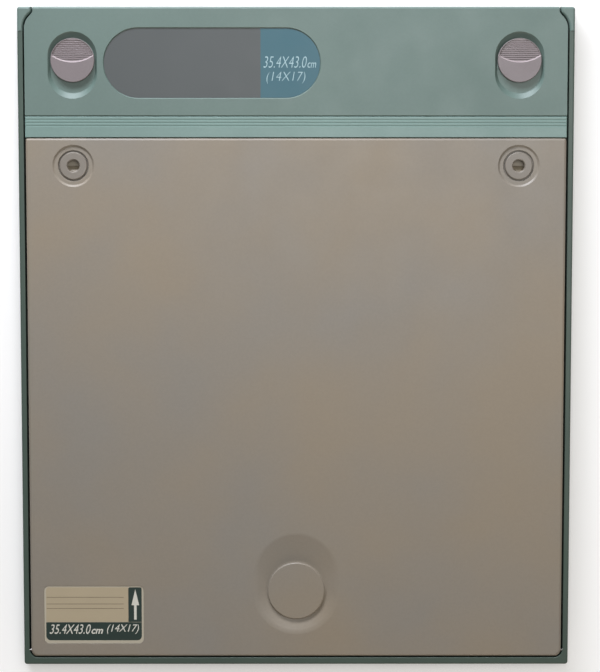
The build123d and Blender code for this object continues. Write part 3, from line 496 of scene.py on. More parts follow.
def islands(node):
    """Box of each separate solid in a CAD node, as (low corner, high corner)."""
    work = bmesh.new()
    work.from_mesh(NODES[node].data)
    bmesh.ops.remove_doubles(work, verts=work.verts, dist=SPLIT)
    boxes, left = [], set(work.verts)
    while left:
        found = [left.pop()]
        for vertex in found:
            near = left.intersection(edge.other_vert(vertex) for edge in vertex.link_edges)
            found += near
            left -= near
        boxes.append([
            Vector([pick(v.co[i] for v in found) for i in range(3)]) for pick in (min, max)
        ])
    work.free()
    return sorted(boxes, key=lambda box: (round(box[0].x, 4), round(box[0].y, 4)))


def lathe(profile, centre, up, segments):
    """Solid of revolution about a vertical axis: profile is (radius, height) from pole to pole."""
    work = bmesh.new()
    x, y, z = centre
    turns = [2 * math.pi * i / segments for i in range(segments)]
    rings = [
        [
            work.verts.new((
                x + radius * math.cos(turn), y + radius * math.sin(turn), z + up * height,
            )) for turn in (turns if radius else [0])
        ] for radius, height in profile
    ]
    for a, b in zip(rings, rings[1:]):
        for i in range(segments):
            j = (i + 1) % segments
            if len(a) == 1:
                work.faces.new((a[0], b[i], b[j]))
            elif len(b) == 1:
                work.faces.new((a[i], a[j], b[0]))
            else:
                work.faces.new((a[i], a[j], b[j], b[i]))
    return work


def cross_cutter(centre, up, reach, wide, deep, clear):
    """Tapered cross that cuts a screw's drive recess, and stands clear above its crown."""
    work = bmesh.new()
    for turn in (0, math.pi / 2):
        c, s = math.cos(turn), math.sin(turn)
        ends = []
        for half, span, height in ((wide / 2, reach, clear), (wide / 4, reach / 3, -deep)):
            ends.append([
                work.verts.new((
                    centre[0] + x * c - y * s, centre[1] + x * s + y * c, centre[2] + up * height,
                ))
                for x, y in ((-span, -half), (span, -half), (span, half), (-span, half))
            ])
        top, low = ends
        work.faces.new(top)
        work.faces.new(low[::-1])
        for a, b, below_a, below_b in side_by_side(top, low):
            work.faces.new((a, below_a, below_b, b))
    bmesh.ops.recalc_face_normals(work, faces=work.faces)
    return work


def carve(target, cutter_work):
    """Cuts a closed bmesh out of a piece and keeps the result as the piece's own mesh."""
    cutter = shaped("cutter", cutter_work)
    cut = target.modifiers.new("recess", "BOOLEAN")
    cut.object = cutter
    cut.operation = "DIFFERENCE"
    cut.solver = "EXACT"
    cut.use_self = True
    graph = bpy.context.evaluated_depsgraph_get()
    result = bpy.data.meshes.new_from_object(target.evaluated_get(graph))
    target.modifiers.remove(cut)
    target.data = result
    bpy.data.objects.remove(cutter)


def ring_outline(box, inset, radius, count):
    """A node's outline moved inwards by inset, as count points that match from ring to ring."""
    low, high = box
    parts = count // 4 - FELT_BEND_STEPS
    return round_loop(
        low.x + inset, low.y + inset, high.x - inset, high.y - inset,
        max(radius - inset, TIGHTEST_BEND), FELT_BEND_STEPS, lambda length: parts,
    )


def soft_slab(box, radius, insets, height, count, ragged, seed):
    """Closed soft sheet: height(inset, x, y) gives its lower and upper surface at a point.

    It has a ring of count points at each inset, and its cut edge frays inwards by up to ragged.
    """
    chance = random.Random(seed)
    fray = [chance.uniform(0, ragged) for _ in range(count)]
    cx, cy = (box[0].x + box[1].x) / 2, (box[0].y + box[1].y) / 2
    work = bmesh.new()
    lower, upper = [], []
    for inset in insets:
        low_ring, high_ring = [], []
        for (x, y), f in zip(ring_outline(box, inset, radius, count), fray):
            if inset < FRAYED:
                away = math.hypot(x - cx, y - cy)
                x -= (x - cx) / away * f
                y -= (y - cy) / away * f
            z0, z1 = height(inset, x, y)
            low_ring.append(work.verts.new((x, y, z0)))
            high_ring.append(work.verts.new((x, y, z1)))
        lower.append(low_ring)
        upper.append(high_ring)
    for rings, flip in ((lower, 1), (upper, -1)):
        for outer, inner in zip(rings, rings[1:]):
            for a, b, in_a, in_b in side_by_side(outer, inner):
                work.faces.new((a, in_a, in_b, b)[::flip])
        work.faces.new(rings[-1][::flip])
    for a, b, above_a, above_b in side_by_side(lower[0], upper[0]):
        work.faces.new((a, b, above_b, above_a))
    return work


def smoothstep(t):
    """Rises from 0 to 1 as t does, level at both ends."""
    t = min(1.0, max(0.0, t))
    return t * t * (3 - 2 * t)


def lettering(name, text, box, slant, stroke, heights, material, slot):
    """Raised ink in the shape of text, fitted to a box (x0, y0, x1, y1) in millimetres.

    slant leans the letters, and stroke makes them bolder or, below 0, thinner.
    """
    curve = bpy.data.curves.new(name, "FONT")
    curve.body = text
    curve.shear = slant
    curve.offset = stroke
    curve.extrude = 0.5
    curve.resolution_u = 4
    line = put(name + "_line", curve)
    graph = bpy.context.evaluated_depsgraph_get()
    data = bpy.data.meshes.new_from_object(line.evaluated_get(graph))
    bpy.data.objects.remove(line)
    work = bmesh.new()
    work.from_mesh(data)
    bmesh.ops.remove_doubles(work, verts=work.verts, dist=WELD)
    bmesh.ops.triangulate(work, faces=work.faces)
    caps = [f for f in work.faces if len({round(v.co.z, 4) for v in f.verts}) == 1]
    flat = set(caps)
    inner = [e for e in work.edges if len(e.link_faces) == 2 and flat.issuperset(e.link_faces)]
    bmesh.ops.beautify_fill(work, faces=caps, edges=inner)
    for axis in range(2):
        values = [v.co[axis] for v in work.verts]
        low, high = min(values), max(values)
        start, end = box[axis] * MM, box[axis + 2] * MM
        for v in work.verts:
            v.co[axis] = start + (v.co[axis] - low) / (high - low) * (end - start)
    for v in work.verts:
        v.co.z = heights[1] if v.co.z > 0 else heights[0]
    return mesh_object(name, work, material, "lid")


# ---- what a user may change ----

def colour_property(name, description, hex_colour):
    return FloatVectorProperty(
        name=name, description=description, subtype="COLOR", size=3, min=0.0, max=1.0,
        default=linear(hex_colour),
    )


def length_property(name, description, millimetres, lowest=0.0):
    return FloatProperty(
        name=name, description=description, unit="LENGTH", min=lowest, precision=5,
        default=millimetres * MM,
    )


def power_property(name, description, watts):
    return FloatProperty(name=name, description=description, unit="POWER", default=watts)


class CASSETTE_PG_colours(bpy.types.PropertyGroup):
    """Colours of the mouldings, printing, felts and sheet."""
    frame: colour_property("Frame", "Side walls and sill", "47564c")
    cover: colour_property("Lock cover", "Lid end with the two locks, and corner blocks", "687b73")
    strip: colour_property("Trim strip", "Grooved strip across the lid", "779088")
    plate: colour_property("Back plate", "Large ribbed lid plate", "8f887d")
    plate_warm: colour_property("Back plate, warm", "Second tone of the back plate", "918471")
    ring: colour_property("Socket rings", "Rings round the two pin sockets", "857d72")
    knob: colour_property("Lock knobs", "Two sliding thumb knobs", "7e7474")
    nameplate: colour_property("Nameplate", "Grey ground of the nameplate", "4c504f")
    size_field: colour_property("Size field", "Teal end of the nameplate", "305f6a")
    size_ink: colour_property("Size ink", "Figures on the teal field", "a3bfc3")
    label: colour_property("Label stock", "Film of the size label", "b9b09c")
    label_field: colour_property("Label field", "Cream field of the size label", "b2a387")
    label_ink: colour_property("Label ink", "Dark column and band of the label", "263630")
    label_white: colour_property("Label figures", "Arrow and figures of the label", "d6d3c6")
    label_rule: colour_property("Label rules", "Thin lines on the cream field", "6c604c")
    front: colour_property("Front panel", "Tube-side panel", "cfcec8")
    front_mark: colour_property("Centre marks", "Printed ticks on the front panel", "5a6a66")
    felt: colour_property("Felt", "Pad facing and liner", "27282b")
    pile: colour_property("Pile seal", "Light seal round the tray", "131314")
    phosphor: colour_property("Phosphor", "Front of the imaging plate", "eceef1")
    plate_back: colour_property("Plate backing", "Back of the imaging plate", "3a3d40")
    plate_rim: colour_property("Plate rim", "Sealed edge of the imaging plate", "b9bbb8")
    panel: colour_property("Inner panel", "Black paint on the lid's inner panel", "232426")
    aluminium: colour_property("Aluminium", "Rivets", "c6c8ca")
    acetal: colour_property("Acetal", "Lock sliders", "9f937f")
    lead: colour_property("Lead", "Foil under the pad", "74767a")
    zinc: colour_property("Zinc plating", "Screws and keepers", "b4b7b9")
    steel: colour_property("Steel", "Return springs and pivot pins", "7d7b77")
    nylon: colour_property("Nylon", "Guides that the sliders run in", "a89c87")


class CASSETTE_PG_sizes(bpy.types.PropertyGroup):
    """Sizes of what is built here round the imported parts."""
    ink_thickness: length_property("Ink", "Thickness of printed ink", 0.03)
    split: length_property("Field edge", "Where the teal field starts across the cassette", -24.5,
                           lowest=-1.0)
    # The lip's arc places the painted highlight and painted shade on the knobs.
    lip_centre: length_property("Lip centre", "Centre of the thumb lip's arc past the knob", 8.9)
    lip_radius: length_property("Lip radius", "Radius of the thumb lip's arc", 25.6)
    lip_width: length_property("Lip width", "Width of the thumb lip", 0.9)
    pad_border: length_property("Pad border", "Width of the pad's pinched edge", 2.5)
    pad_rise: length_property("Pad rise", "Width over which the pad swells", 9.0)
    pad_edge: length_property("Pad edge", "Thickness of the pinched edge", 0.9)
    pad_crown: length_property("Pad crown", "Swell of the pad's middle", 0.35)
    pile_step: length_property("Pile step", "Spacing of tufts along the light seal", 1.6)
    pile_ragged: length_property("Pile raggedness", "How uneven the pile stands", 0.22)


class CASSETTE_PG_stage(bpy.types.PropertyGroup):
    """Floor, lamps and camera."""
    key_power: power_property("Key lamp", "Soft lamp beyond the lock end", 26.5)
    side_power: power_property("Side lamp", "Large soft lamp on the right", 1.6)
    top_power: power_property("Top lamp", "Soft lamp overhead, seen as sheen", 6.4)
    low_power: power_property("Low lamp", "Warm soft lamp at the hinge end", 3.6)
    sky: FloatProperty(name="Sky", description="Even light from all round", default=0.12)
    floor: colour_property("Floor", "Pale floor", "e4e2de")
    lens: FloatProperty(name="Lens", description="Focal length", unit="CAMERA", default=105.75)
    distance: FloatProperty(name="Distance", description="Camera to cassette", unit="LENGTH",
                            default=1.375)


def colours():
    return bpy.context.scene.cassette_colours


def sizes():
    return bpy.context.scene.cassette_sizes


# ---- pieces ----

class CASSETTE_OT_frame(bpy.types.Operator):
    """Finish the tray's moulded frame and sill"""
    bl_idname = "cassette.frame"
    bl_label = "Frame"

    def execute(self, context):
        green = moulded_plastic("Moulded ABS, dark green, spark grain", colours().frame, 0.4)
        dress(green, "front_frame", "end_sill")
        return {"FINISHED"}


class CASSETTE_OT_cover(bpy.types.Operator):
    """Finish the lock cover and the corner blocks beside it, moulded in one colour"""
    bl_idname = "cassette.cover"
    bl_label = "Lock cover"

    def execute(self, context):
        green = moulded_plastic("Moulded ABS, grey green, spark grain", colours().cover, 0.42)
        dress(green, "lock_cover", "corner_block_left", "corner_block_right")
        return {"FINISHED"}


class CASSETTE_OT_strip(bpy.types.Operator):
    """Finish the grooved trim strip"""
    bl_idname = "cassette.strip"
    bl_label = "Trim strip"

    def execute(self, context):
        green = moulded_plastic("Moulded ABS, light green, polished mould", colours().strip, 0.34,
                                grain=0.9, grain_height=0.012, edge=0.16)
        dress(green, "trim_strip")
        return {"FINISHED"}


class CASSETTE_OT_back_plate(bpy.types.Operator):
    """Finish the ribbed back plate"""
    bl_idname = "cassette.back_plate"
    bl_label = "Back plate"

    def execute(self, context):
        taupe = moulded_plastic("Moulded ABS, warm grey, spark grain", colours().plate, 0.45,
                                cast=colours().plate_warm)
        dress(taupe, "back_plate")
        return {"FINISHED"}


class CASSETTE_OT_sockets(bpy.types.Operator):
    """Finish the two pin-socket rings"""
    bl_idname = "cassette.sockets"
    bl_label = "Pin sockets"

    def execute(self, context):
        taupe = moulded_plastic("Moulded ABS, warm grey, fine mould", colours().ring, 0.38,
                                grain=0.8, grain_height=0.012, edge_wear_highlight_gain=1.3)
        dress(taupe, "socket_ring_left", "socket_ring_right")
        return {"FINISHED"}


class CASSETTE_OT_knobs(bpy.types.Operator):
    """Finish the two lock knobs"""
    bl_idname = "cassette.knobs"
    bl_label = "Lock knobs"

    def execute(self, context):
        low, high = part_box("lock_knob_right")
        size = sizes()
        centre = ((low.x + high.x) / 2, high.y + size.lip_centre, 0.0)
        # The knobs' colour has a painted highlight on the lip and ridges, and painted shade in the
        # grooves.
        mauve = moulded_plastic("Moulded ABS, mauve grey, fine mould", colours().knob, 0.36,
                                grain=0.8, grain_height=0.012, edge_wear_highlight_gain=1.35, edge=0.16,
                                thumb_lip=(centre, size.lip_radius, size.lip_width))
        dress(mauve, "lock_knob_left", "lock_knob_right")
        return {"FINISHED"}


# Lines of figures: piece, text, box in millimetres, slant and stroke.
NAMEPLATE_LINES = (
    ("nameplate_size_metric", "35.4X43.0", (-22.5, 188.3, 7.4, 196.1), 0.25, -0.012),
    ("nameplate_size_unit", "cm", (7.9, 188.3, 13.8, 191.9), 0.25, 0.0),
    ("nameplate_size_inch", "(14X17)", (-20.4, 177.3, 6.4, 185.6), 0.2, -0.016),
)
LABEL_LINES = (
    ("label_size_metric", "35.4X43.0", (-173.8, -208.0, -144.8, -201.2), 0.3, 0.0),
    ("label_size_unit", "cm", (-144.4, -208.0, -136.1, -204.4), 0.3, 0.02),
    ("label_size_inch", "(14X17)", (-133.4, -208.1, -110.8, -201.2), 0.3, 0.0),
)
# Printed shapes of the size label, in millimetres: boxes, an arrow and thin rules.
FIELD_BOX = (-176.1, -199.5, -118.2, -174.7)
COLUMN_BOX = (-118.2, -199.5, -108.8, -174.7)
BAND_BOX = (-176.2, -212.6, -108.8, -199.7)
ARROW = (
    (-114.2, -197.8), (-112.4, -197.8), (-112.4, -187.5), (-110.6, -187.5),
    (-113.3, -176.1), (-116.0, -187.5), (-114.2, -187.5),
)
RULE_LEFT, RULE_RIGHT, RULE_HALF = -175.7, -121.5, 0.16
RULE_HEIGHTS = (-181.8, -186.6, -189.8)


class CASSETTE_OT_nameplate(bpy.types.Operator):
    """Finish the nameplate, left bare but for its teal end and the plate size"""
    bl_idname = "cassette.nameplate"
    bl_label = "Nameplate"

    def execute(self, context):
        grey = printed_film("Polyester film, screen-printed grey, satin",
                            colours().nameplate, 0.42)
        dress(grey, "nameplate")
        low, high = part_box("nameplate")
        z = high.z
        step = sizes().ink_thickness
        edge = sizes().split
        radius, middle = (high.y - low.y) / 2, (high.y + low.y) / 2
        teal = printed_film("Polyester film, screen-printed teal", colours().size_field, 0.42)
        outline = [
            (edge, middle - radius + step),
            *arc(high.x - radius, middle, radius - step, -90, 90, 36),
            (edge, middle + radius - step),
        ]
        mesh_object("nameplate_size_field", prism(outline, z - step, z + step), teal, "lid")
        ink = printed_film("Screen ink, pale teal", colours().size_ink, 0.45)
        for line in NAMEPLATE_LINES:
            lettering(*line, (z, z + 2 * step), ink, "nameplate_grey")
        return {"FINISHED"}


class CASSETTE_OT_label(bpy.types.Operator):
    """Finish the size label: cream field, dark column with an arrow, and band with the size"""
    bl_idname = "cassette.label"
    bl_label = "Size label"

    def execute(self, context):
        stock = printed_film("Polyester label film, satin", colours().label, 0.4)
        dress(stock, "size_label")
        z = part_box("size_label")[1].z
        step = sizes().ink_thickness
        cream = printed_film("Screen ink, cream", colours().label_field, 0.5, mottle=0.04)
        dark = printed_film("Screen ink, dark green", colours().label_ink, 0.42, mottle=0.06)
        white = printed_film("Screen ink, white", colours().label_white, 0.5)
        brown = printed_film("Screen ink, brown", colours().label_rule, 0.5)
        first, second = (z - step, z + step), (z, z + 2 * step)
        printed = [
            ("label_field", rounded_outline(*FIELD_BOX, (0, 0, 0, 2.0)), first, cream),
            ("label_column", rounded_outline(*COLUMN_BOX, (0, 0, 1.2, 1.2)), first, dark),
            ("label_band", rounded_outline(*BAND_BOX, (3.2, 3.2, 0, 0)), first, dark),
            ("label_arrow", ARROW, second, white),
        ]
        for i, y in enumerate(RULE_HEIGHTS):
            rule = rounded_outline(RULE_LEFT, y - RULE_HALF, RULE_RIGHT, y + RULE_HALF, (0,) * 4)
            printed.append((f"label_rule_{i + 1}", rule, second, brown))
        for name, outline, heights, film in printed:
            points = [(x * MM, y * MM) for x, y in outline]
            mesh_object(name, prism(points, *heights), film, "lid")
        for line in LABEL_LINES:
            lettering(*line, second, white, "label_cream")
        return {"FINISHED"}


class CASSETTE_OT_front_panel(bpy.types.Operator):
    """Finish the tube-side panel, with printed centre marks"""
    bl_idname = "cassette.front_panel"
    bl_label = "Front panel"

    def execute(self, context):
        paint = coated_panel("Painted fibre composite, pale grey", colours().front, 1.0)
        dress(paint, "front_panel")
        low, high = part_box("front_panel")
        mark = printed_film("Screen ink, grey green", colours().front_mark, 0.5)
        step = sizes().ink_thickness
        heights = (low.z - step, low.z + step)
        long, thin, inset, rounding = 14 * MM, 0.5 * MM, 16 * MM, 0.4 * MM
        middle = (low.y + high.y) / 2
        ticks = [
            (-thin, low.y + inset, thin, low.y + inset + long),
            (-thin, high.y - inset - long, thin, high.y - inset),
            (low.x + inset, middle - thin, low.x + inset + long, middle + thin),
            (high.x - inset - long, middle - thin, high.x - inset, middle + thin),
        ]
        for i, tick in enumerate(ticks):
            outline = rounded_outline(*tick, (rounding,) * 4, steps=4)
            mesh_object(f"front_centre_mark_{i + 1}", prism(outline, *heights), mark, "base")
        return {"FINISHED"}


class CASSETTE_OT_imaging_plate(bpy.types.Operator):
    """Finish the imaging plate"""
    bl_idname = "cassette.imaging_plate"
    bl_label = "Imaging plate"

    def execute(self, context):
        tone = colours()
        sheet = phosphor_sheet("Storage phosphor on polyester, sealed edge", tone.phosphor,
                               tone.plate_back, tone.plate_rim)
        dress(sheet, "imaging_plate")
        return {"FINISHED"}


# Rings of the two felts, in millimetres in from the edge.
LINER_RINGS = (0, 0.4, 1.2, 4, 40, 120)
PAD_RINGS = (0, 0.4, 1.2, 2.4, 3.5, 4.8, 6.2, 7.6, 9.0, 10.5, 12, 16, 22, 30, 40, 52, 66, 82,
             100, 120, 140, 160, 170)
# Ripple of the pad's face: its height, its lengths across and along over 2 pi, and its phase.
RIPPLE, RIPPLE_ACROSS, RIPPLE_ALONG, RIPPLE_PHASE = 0.05 * MM, 13 * MM, 17 * MM, 1.3
# The pad's rolled edge: its width, and the share of the thickness left there.
ROLLED_EDGE, ROLLED_SHARE = 0.5 * MM, 0.7


class CASSETTE_OT_liner(bpy.types.Operator):
    """Lay the felt liner on the front panel"""
    bl_idname = "cassette.liner"
    bl_label = "Front liner"

    def execute(self, context):
        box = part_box("front_liner")
        felt = needled_felt("Needled polyester felt, charcoal, liner", colours().felt, 1.2, 0.15)
        edge_width, edge_fall, slack = 1.2 * MM, 0.2 * MM, 0.02 * MM

        def height(inset, x, y):
            fall = (1 - smoothstep(inset / edge_width)) * edge_fall
            return box[0].z, box[1].z - slack - fall

        work = soft_slab(box, radius=3 * MM, insets=[i * MM for i in LINER_RINGS], height=height,
                         count=240, ragged=0.12 * MM, seed=4)
        liner = mesh_object("front_liner_felt", work, felt, "base", smooth=True)
        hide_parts("front_liner")
        return {"FINISHED"}


# Light seal: its width, the radius of its bends, and the share of its groove that it fills.
SEAL_WIDTH, SEAL_BEND, SEAL_FILL = 3.0 * MM, 3 * MM, 0.985
SEAL_BEND_STEPS = 5
# Its section, as shares of half its width and of its height. Above SWAYS the tufts lean in, by
# up to SWAY of the raggedness, and above STANDS they also end unevenly.
SEAL_SECTION = (
    (-1.0, 0.0), (-0.98, 0.45), (-0.9, 0.72), (-0.62, 0.9), (-0.25, 0.97),
    (0.25, 0.97), (0.62, 0.9), (0.9, 0.72), (0.98, 0.45), (1.0, 0.0),
)
SWAYS, STANDS, SWAY = 0.2, 0.5, 0.4
SEAL_SEED = 11


class CASSETTE_OT_seal(bpy.types.Operator):
    """Stand the pile of the light seal in its groove"""
    bl_idname = "cassette.seal"
    bl_label = "Light seal"

    def execute(self, context):
        low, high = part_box("light_seal")
        tall = high.z - low.z
        half = SEAL_WIDTH / 2
        step, ragged = sizes().pile_step, sizes().pile_ragged
        chance = random.Random(SEAL_SEED)
        path = round_loop(low.x + half, low.y + half, high.x - half, high.y - half,
                          SEAL_BEND, SEAL_BEND_STEPS, lambda length: int(length / step))
        work = bmesh.new()
        rings = []
        for i, (x, y) in enumerate(path):
            px, py = path[i - 1]
            nx, ny = path[(i + 1) % len(path)]
            dx, dy = nx - px, ny - py
            length = math.hypot(dx, dy)
            ox, oy = dy / length, -dx / length
            ring = []
            for across, up in SEAL_SECTION:
                lift = chance.uniform(-ragged, 0) if up > STANDS else 0
                side = 1 if across > 0 else -1
                shift = chance.uniform(-SWAY, 0.0) * ragged * side if up > SWAYS else 0
                w = across * half * SEAL_FILL + shift
                ring.append(work.verts.new((x + ox * w, y + oy * w, low.z + up * tall + lift)))
            rings.append(ring)
        for ring, following in zip(rings, rings[1:] + rings[:1]):
            for a, b, next_a, next_b in side_by_side(ring, following):
                work.faces.new((a, next_a, next_b, b))
        pile = needled_felt("Woven pile, black nylon", colours().pile, 0.8, 0.25)
        seal = mesh_object("light_seal_pile", work, pile, "base", smooth=True)
        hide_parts("light_seal")
        return {"FINISHED"}


class CASSETTE_OT_pad(bpy.types.Operator):
    """Build the lid's pressure pad: felt-faced foam, pinched along its edge and crowned"""
    bl_idname = "cassette.pad"
    bl_label = "Pressure pad"

    def execute(self, context):
        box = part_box("pressure_pad")
        low, high = box
        size = sizes()
        centre = (low + high) / 2
        half = (high - low) / 2
        full = high.z - low.z
        slack, glue = 0.06 * MM, 0.01 * MM

        def height(inset, x, y):
            swell = smoothstep((inset - size.pad_border) / size.pad_rise)
            u, v = (x - centre.x) / half.x, (y - centre.y) / half.y
            crown = (1 - (1 - u ** 4) * (1 - v ** 4)) * size.pad_crown
            across, along = x / RIPPLE_ACROSS, y / RIPPLE_ALONG + RIPPLE_PHASE
            ripple = RIPPLE * math.sin(across) * math.sin(along)
            body = full - crown - slack + ripple * swell
            thick = size.pad_edge + (body - size.pad_edge) * swell
            if inset < ROLLED_EDGE:
                thick *= ROLLED_SHARE
            return high.z - thick, high.z - glue

        felt = needled_felt("Needled felt on foam, charcoal", colours().felt, 1.3, 0.2)
        work = soft_slab(box, radius=5 * MM, insets=[i * MM for i in PAD_RINGS], height=height,
                         count=280, ragged=0.15 * MM, seed=7)
        pad = mesh_object("pressure_pad_felt", work, felt, "lid", smooth=True)
        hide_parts("pressure_pad")
        return {"FINISHED"}


class CASSETTE_OT_lid_inside(bpy.types.Operator):
    """Finish the inner panel and the lead foil"""
    bl_idname = "cassette.lid_inside"
    bl_label = "Inner panel and foil"

    def execute(self, context):
        dress(sprayed_paint("Matt black paint on aluminium sheet", colours().panel), "inner_panel")
        foil = rolled_metal("Rolled lead foil, dulled", colours().lead, 0.6, line_gap=1.6,
                            line_height=0.03, along=(1.0, 0.3, 1.0), stain=0.2)
        dress(foil, "lead_foil")
        return {"FINISHED"}


class CASSETTE_OT_locks(bpy.types.Operator):
    """Finish the sliders, guides, keepers, rivets and pins"""
    bl_idname = "cassette.locks"
    bl_label = "Lock works"

    def execute(self, context):
        zinc = rolled_metal("Zinc-plated steel, pressed", colours().zinc, 0.36, line_gap=0.6,
                            line_height=0.008, along=(1.0, 0.1, 1.0))
        dress(zinc, "keeper_left", "keeper_right", "knob_screw_left", "knob_screw_right")
        dress(rolled_metal("Aluminium, cold-headed", colours().aluminium, 0.32), "guide_rivets")
        acetal = moulded_plastic("Moulded acetal, beige, polished mould", colours().acetal,
                                 0.3, grain=0.9, grain_height=0.008)
        dress(acetal, "lock_slider_left", "lock_slider_right")
        nylon = moulded_plastic("Moulded nylon, beige", colours().nylon, 0.45,
                                grain=0.8, grain_height=0.01)
        dress(nylon, "lock_guide_left", "lock_guide_right")
        steel = rolled_metal("Silver steel, ground", colours().steel, 0.28, along=(0.1, 1.0, 1.0))
        dress(steel, "pivot_pin_left", "pivot_pin_right")
        return {"FINISHED"}


class CASSETTE_OT_springs(bpy.types.Operator):
    """Build the return springs as bent steel strips, copied from their CAD nodes"""
    bl_idname = "cassette.springs"
    bl_label = "Return springs"

    def execute(self, context):
        steel = rolled_metal("Spring steel strip, tempered", colours().steel, 0.45,
                             along=(1.0, 1.0, 0.15))
        for side in ("left", "right"):
            node = f"lock_spring_{side}"
            work = bmesh.new()
            work.from_mesh(NODES[node].data)
            spring = mesh_object(f"{node}_strip", work, steel, "lid")
            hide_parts(node)
            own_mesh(spring)
        return {"FINISHED"}


# A screw's head: shares of its radius, with depths below its crown.
SCREW_DOME = ((0, 0), (0.45, 0.03 * MM), (0.78, 0.14 * MM), (0.94, 0.32 * MM), (0.995, 0.52 * MM))
SCREW_RISE, SCREW_BRIM, SCREW_UNDERSIDE = 0.8 * MM, 0.08 * MM, 0.97
# Its shank: radius, length of its pointed end, share left there, and room under it.
SCREW_SHANK, SCREW_POINT, SCREW_TIP, SCREW_ROOM = 0.9 * MM, 0.2 * MM, 0.8, 0.02 * MM
# Its cross recess: share of the head's radius, width, depth, and how far the cutter stands out.
RECESS_REACH, RECESS_WIDTH, RECESS_DEPTH, RECESS_CLEAR = 0.58, 0.42 * MM, 0.45 * MM, 0.3 * MM


class CASSETTE_OT_screws(bpy.types.Operator):
    """Build the cross-recessed screws of the inner panel and the keepers"""
    bl_idname = "cassette.screws"
    bl_label = "Screws"

    def execute(self, context):
        zinc = rolled_metal("Zinc-plated steel, cold-headed", colours().zinc, 0.3)
        for node, body, up in (("panel_screws", "lid", -1), ("keeper_screws", "base", 1)):
            for i, (low, high) in enumerate(islands(node)):
                head = (high.x - low.x) / 2
                crown = high.z if up > 0 else low.z
                centre = ((low.x + high.x) / 2, (low.y + high.y) / 2, crown)
                reach = high.z - low.z
                end = SCREW_ROOM - reach
                profile = [(head * share, -down) for share, down in SCREW_DOME]
                profile += [
                    (head, SCREW_BRIM - SCREW_RISE), (head * SCREW_UNDERSIDE, -SCREW_RISE),
                    (SCREW_SHANK, -SCREW_RISE), (SCREW_SHANK, SCREW_POINT - reach),
                    (SCREW_SHANK * SCREW_TIP, end), (0, end),
                ]
                work = lathe(profile, centre, up, segments=28)
                screw = mesh_object(f"{node[:-1]}_{i + 1}", work, zinc, body)
                carve(screw, cross_cutter(centre, up, head * RECESS_REACH, RECESS_WIDTH,
                                          RECESS_DEPTH, RECESS_CLEAR))
            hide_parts(node)
        return {"FINISHED"}


# ---- stage ----

# Lamps: name, place and size in metres, and tint.
LAMPS = (
    ("key", (-0.30, 1.20, 0.54), (1.0, 0.4), "f0f4ff"),
    ("side", (0.70, 0.00, 0.80), (0.8, 1.0), "fff7ee"),
    ("top", (0.12, 0.32, 1.50), (0.80, 0.70), "fbfdff"),
    ("low", (0.15, -1.30, 0.30), (0.9, 0.4), "ffeeda"),
)
SKY_TINT = "fffdf9"
# Floor, in metres: its radius, its drop below the cassette, and where it fades to white.
FLOOR_RADIUS, FLOOR_DROP, FADE_START, FADE_END = 6.0, 0.05 * MM, 0.22, 0.7
# How much lighter than lit paper the floor looks to the camera.
FLOOR_LIFT = 0.3
# Camera: its turn in degrees, the point that it looks at, and its nearest and furthest sight.
CAMERA_TURN = (-4.831, -0.127, 0.006)
CAMERA_AIM = Vector((2.71, 2.87, 15.0)) * MM
CAMERA_CLIP = (0.05, 20.0)
SENSOR_WIDTH = 36.0


def seamless_paper(colour):
    """Seamless studio paper: matte and faintly fibrous, lifted a little and fading to white."""
    material, add, place = new_material("Seamless paper, pale, matte")
    fibre = add("TexNoise", {"Vector": place, "Scale": 1 / PAPER_FIBRE, "Detail": 3.0})
    tint = add("Mix", {
        "Factor": fibre, MIX_A: rgba(colour, 0.985), MIX_B: rgba(colour, 1.015),
    }, data_type="RGBA")
    paper = add("BsdfDiffuse", {"Color": tint})
    ray = add("LightPath").outputs
    seen = add("Math", {0: ray["Is Camera Ray"], 1: ray["Is Glossy Ray"]}, operation="MAXIMUM")
    seen = add("Math", {0: seen, 1: ray["Is Transmission Ray"]}, operation="MAXIMUM")
    lift = add("Emission", {"Strength": FLOOR_LIFT})
    lifted = add("AddShader", {0: paper, 1: lift})
    far = add("VectorMath", {0: place}, operation="LENGTH")
    fade = add("MapRange", {
        "Value": far, "From Min": FADE_START, "From Max": FADE_END,
    }, interpolation_type="SMOOTHSTEP")
    white = add("Emission", {"Strength": 1.0})
    near = add("MixShader", {0: fade, 1: lifted, 2: white})
    out = add("MixShader", {0: seen, 1: paper, 2: near})
    add("OutputMaterial", {"Surface": out})
    return material


def pale_studio(strength):
    """World that lights evenly and looks white to the camera."""
    world = bpy.data.worlds.new("Pale studio")
    add = emptied(world)
    ray = add("LightPath").outputs
    even = add("Background", {"Color": rgba(linear(SKY_TINT)), "Strength": strength})
    blank = add("Background", {"Color": rgba((1, 1, 1)), "Strength": 1.0})
    mixed = add("MixShader", {0: ray["Is Camera Ray"], 1: even, 2: blank})
    add("OutputWorld", {"Surface": mixed})
    return world


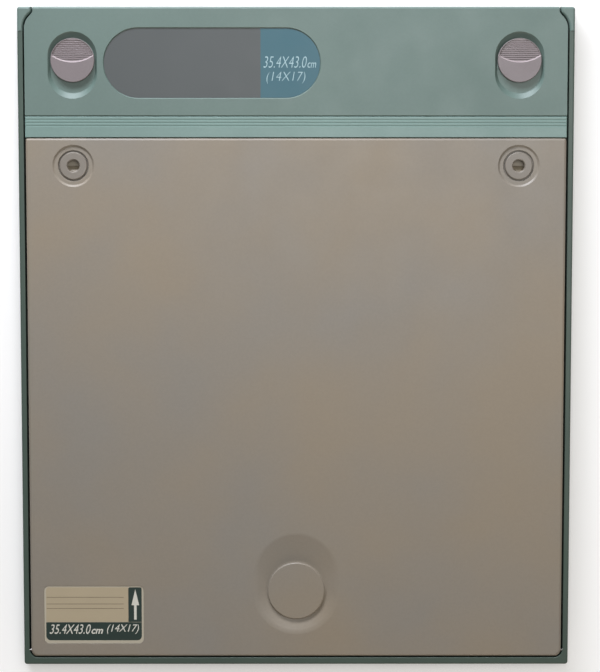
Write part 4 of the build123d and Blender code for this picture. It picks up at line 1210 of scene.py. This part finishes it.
class CASSETTE_OT_stage(bpy.types.Operator):
    """Set the floor, the soft lamps and the camera"""
    bl_idname = "cassette.stage"
    bl_label = "Stage"

    def execute(self, context):
        scene = context.scene
        stage = scene.cassette_stage
        scene.view_settings.view_transform = "Standard"

        paper = seamless_paper(stage.floor)
        work = bmesh.new()
        bmesh.ops.create_circle(work, cap_ends=True, radius=FLOOR_RADIUS, segments=96)
        floor = shaped("floor", work, paper)
        floor.location.z = -FLOOR_DROP

        scene.world = pale_studio(stage.sky)
        for name, spot, spread, tone in LAMPS:
            lamp = bpy.data.lights.new(f"{name}_lamp", "AREA")
            lamp.shape = "RECTANGLE"
            lamp.size, lamp.size_y = spread
            lamp.energy = getattr(stage, f"{name}_power")
            lamp.color = linear(tone)
            holder = put(f"{name}_lamp", lamp)
            holder.location = spot
            holder.rotation_euler = (-Vector(spot)).to_track_quat("-Z", "Y").to_euler()

        lens = bpy.data.cameras.new("camera")
        lens.lens = stage.lens
        lens.sensor_width = SENSOR_WIDTH
        lens.clip_start, lens.clip_end = CAMERA_CLIP
        camera = put("camera", lens)
        camera.rotation_euler = [math.radians(angle) for angle in CAMERA_TURN]
        back = camera.rotation_euler.to_matrix() @ Vector((0, 0, stage.distance))
        camera.location = CAMERA_AIM + back
        scene.camera = camera
        return {"FINISHED"}


# ---- add-on ----

class CASSETTE_PT_panel(bpy.types.Panel):
    """Steps that dress the cassette, in order"""
    bl_idname = "CASSETTE_PT_panel"
    bl_label = "Cassette"
    bl_space_type = "VIEW_3D"
    bl_region_type = "UI"
    bl_category = "Cassette"

    def draw(self, context):
        layout = self.layout
        for operator in OPERATORS:
            layout.operator(operator.bl_idname)
        for name in GROUPS:
            group = getattr(context.scene, name)
            box = layout.box()
            for setting in group.__annotations__:
                box.prop(group, setting)


OPERATORS = (
    CASSETTE_OT_frame, CASSETTE_OT_cover, CASSETTE_OT_strip, CASSETTE_OT_back_plate,
    CASSETTE_OT_sockets, CASSETTE_OT_knobs, CASSETTE_OT_nameplate, CASSETTE_OT_label,
    CASSETTE_OT_front_panel, CASSETTE_OT_imaging_plate, CASSETTE_OT_liner, CASSETTE_OT_seal,
    CASSETTE_OT_pad, CASSETTE_OT_lid_inside, CASSETTE_OT_locks, CASSETTE_OT_springs,
    CASSETTE_OT_screws, CASSETTE_OT_stage,
)
GROUPS = {
    "cassette_colours": CASSETTE_PG_colours,
    "cassette_sizes": CASSETTE_PG_sizes,
    "cassette_stage": CASSETTE_PG_stage,
}


def register():
    for name, group in GROUPS.items():
        bpy.utils.register_class(group)
        setattr(bpy.types.Scene, name, PointerProperty(type=group))
    for operator in OPERATORS:
        bpy.utils.register_class(operator)
    bpy.utils.register_class(CASSETTE_PT_panel)


def unregister():
    bpy.utils.unregister_class(CASSETTE_PT_panel)
    for operator in reversed(OPERATORS):
        bpy.utils.unregister_class(operator)
    for name, group in GROUPS.items():
        delattr(bpy.types.Scene, name)
        bpy.utils.unregister_class(group)


def main():
    """Runs every step."""
    register()
    for operator in OPERATORS:
        family, step = operator.bl_idname.split(".")
        getattr(getattr(bpy.ops, family), step)()


if __name__ == "__main__":
    main()
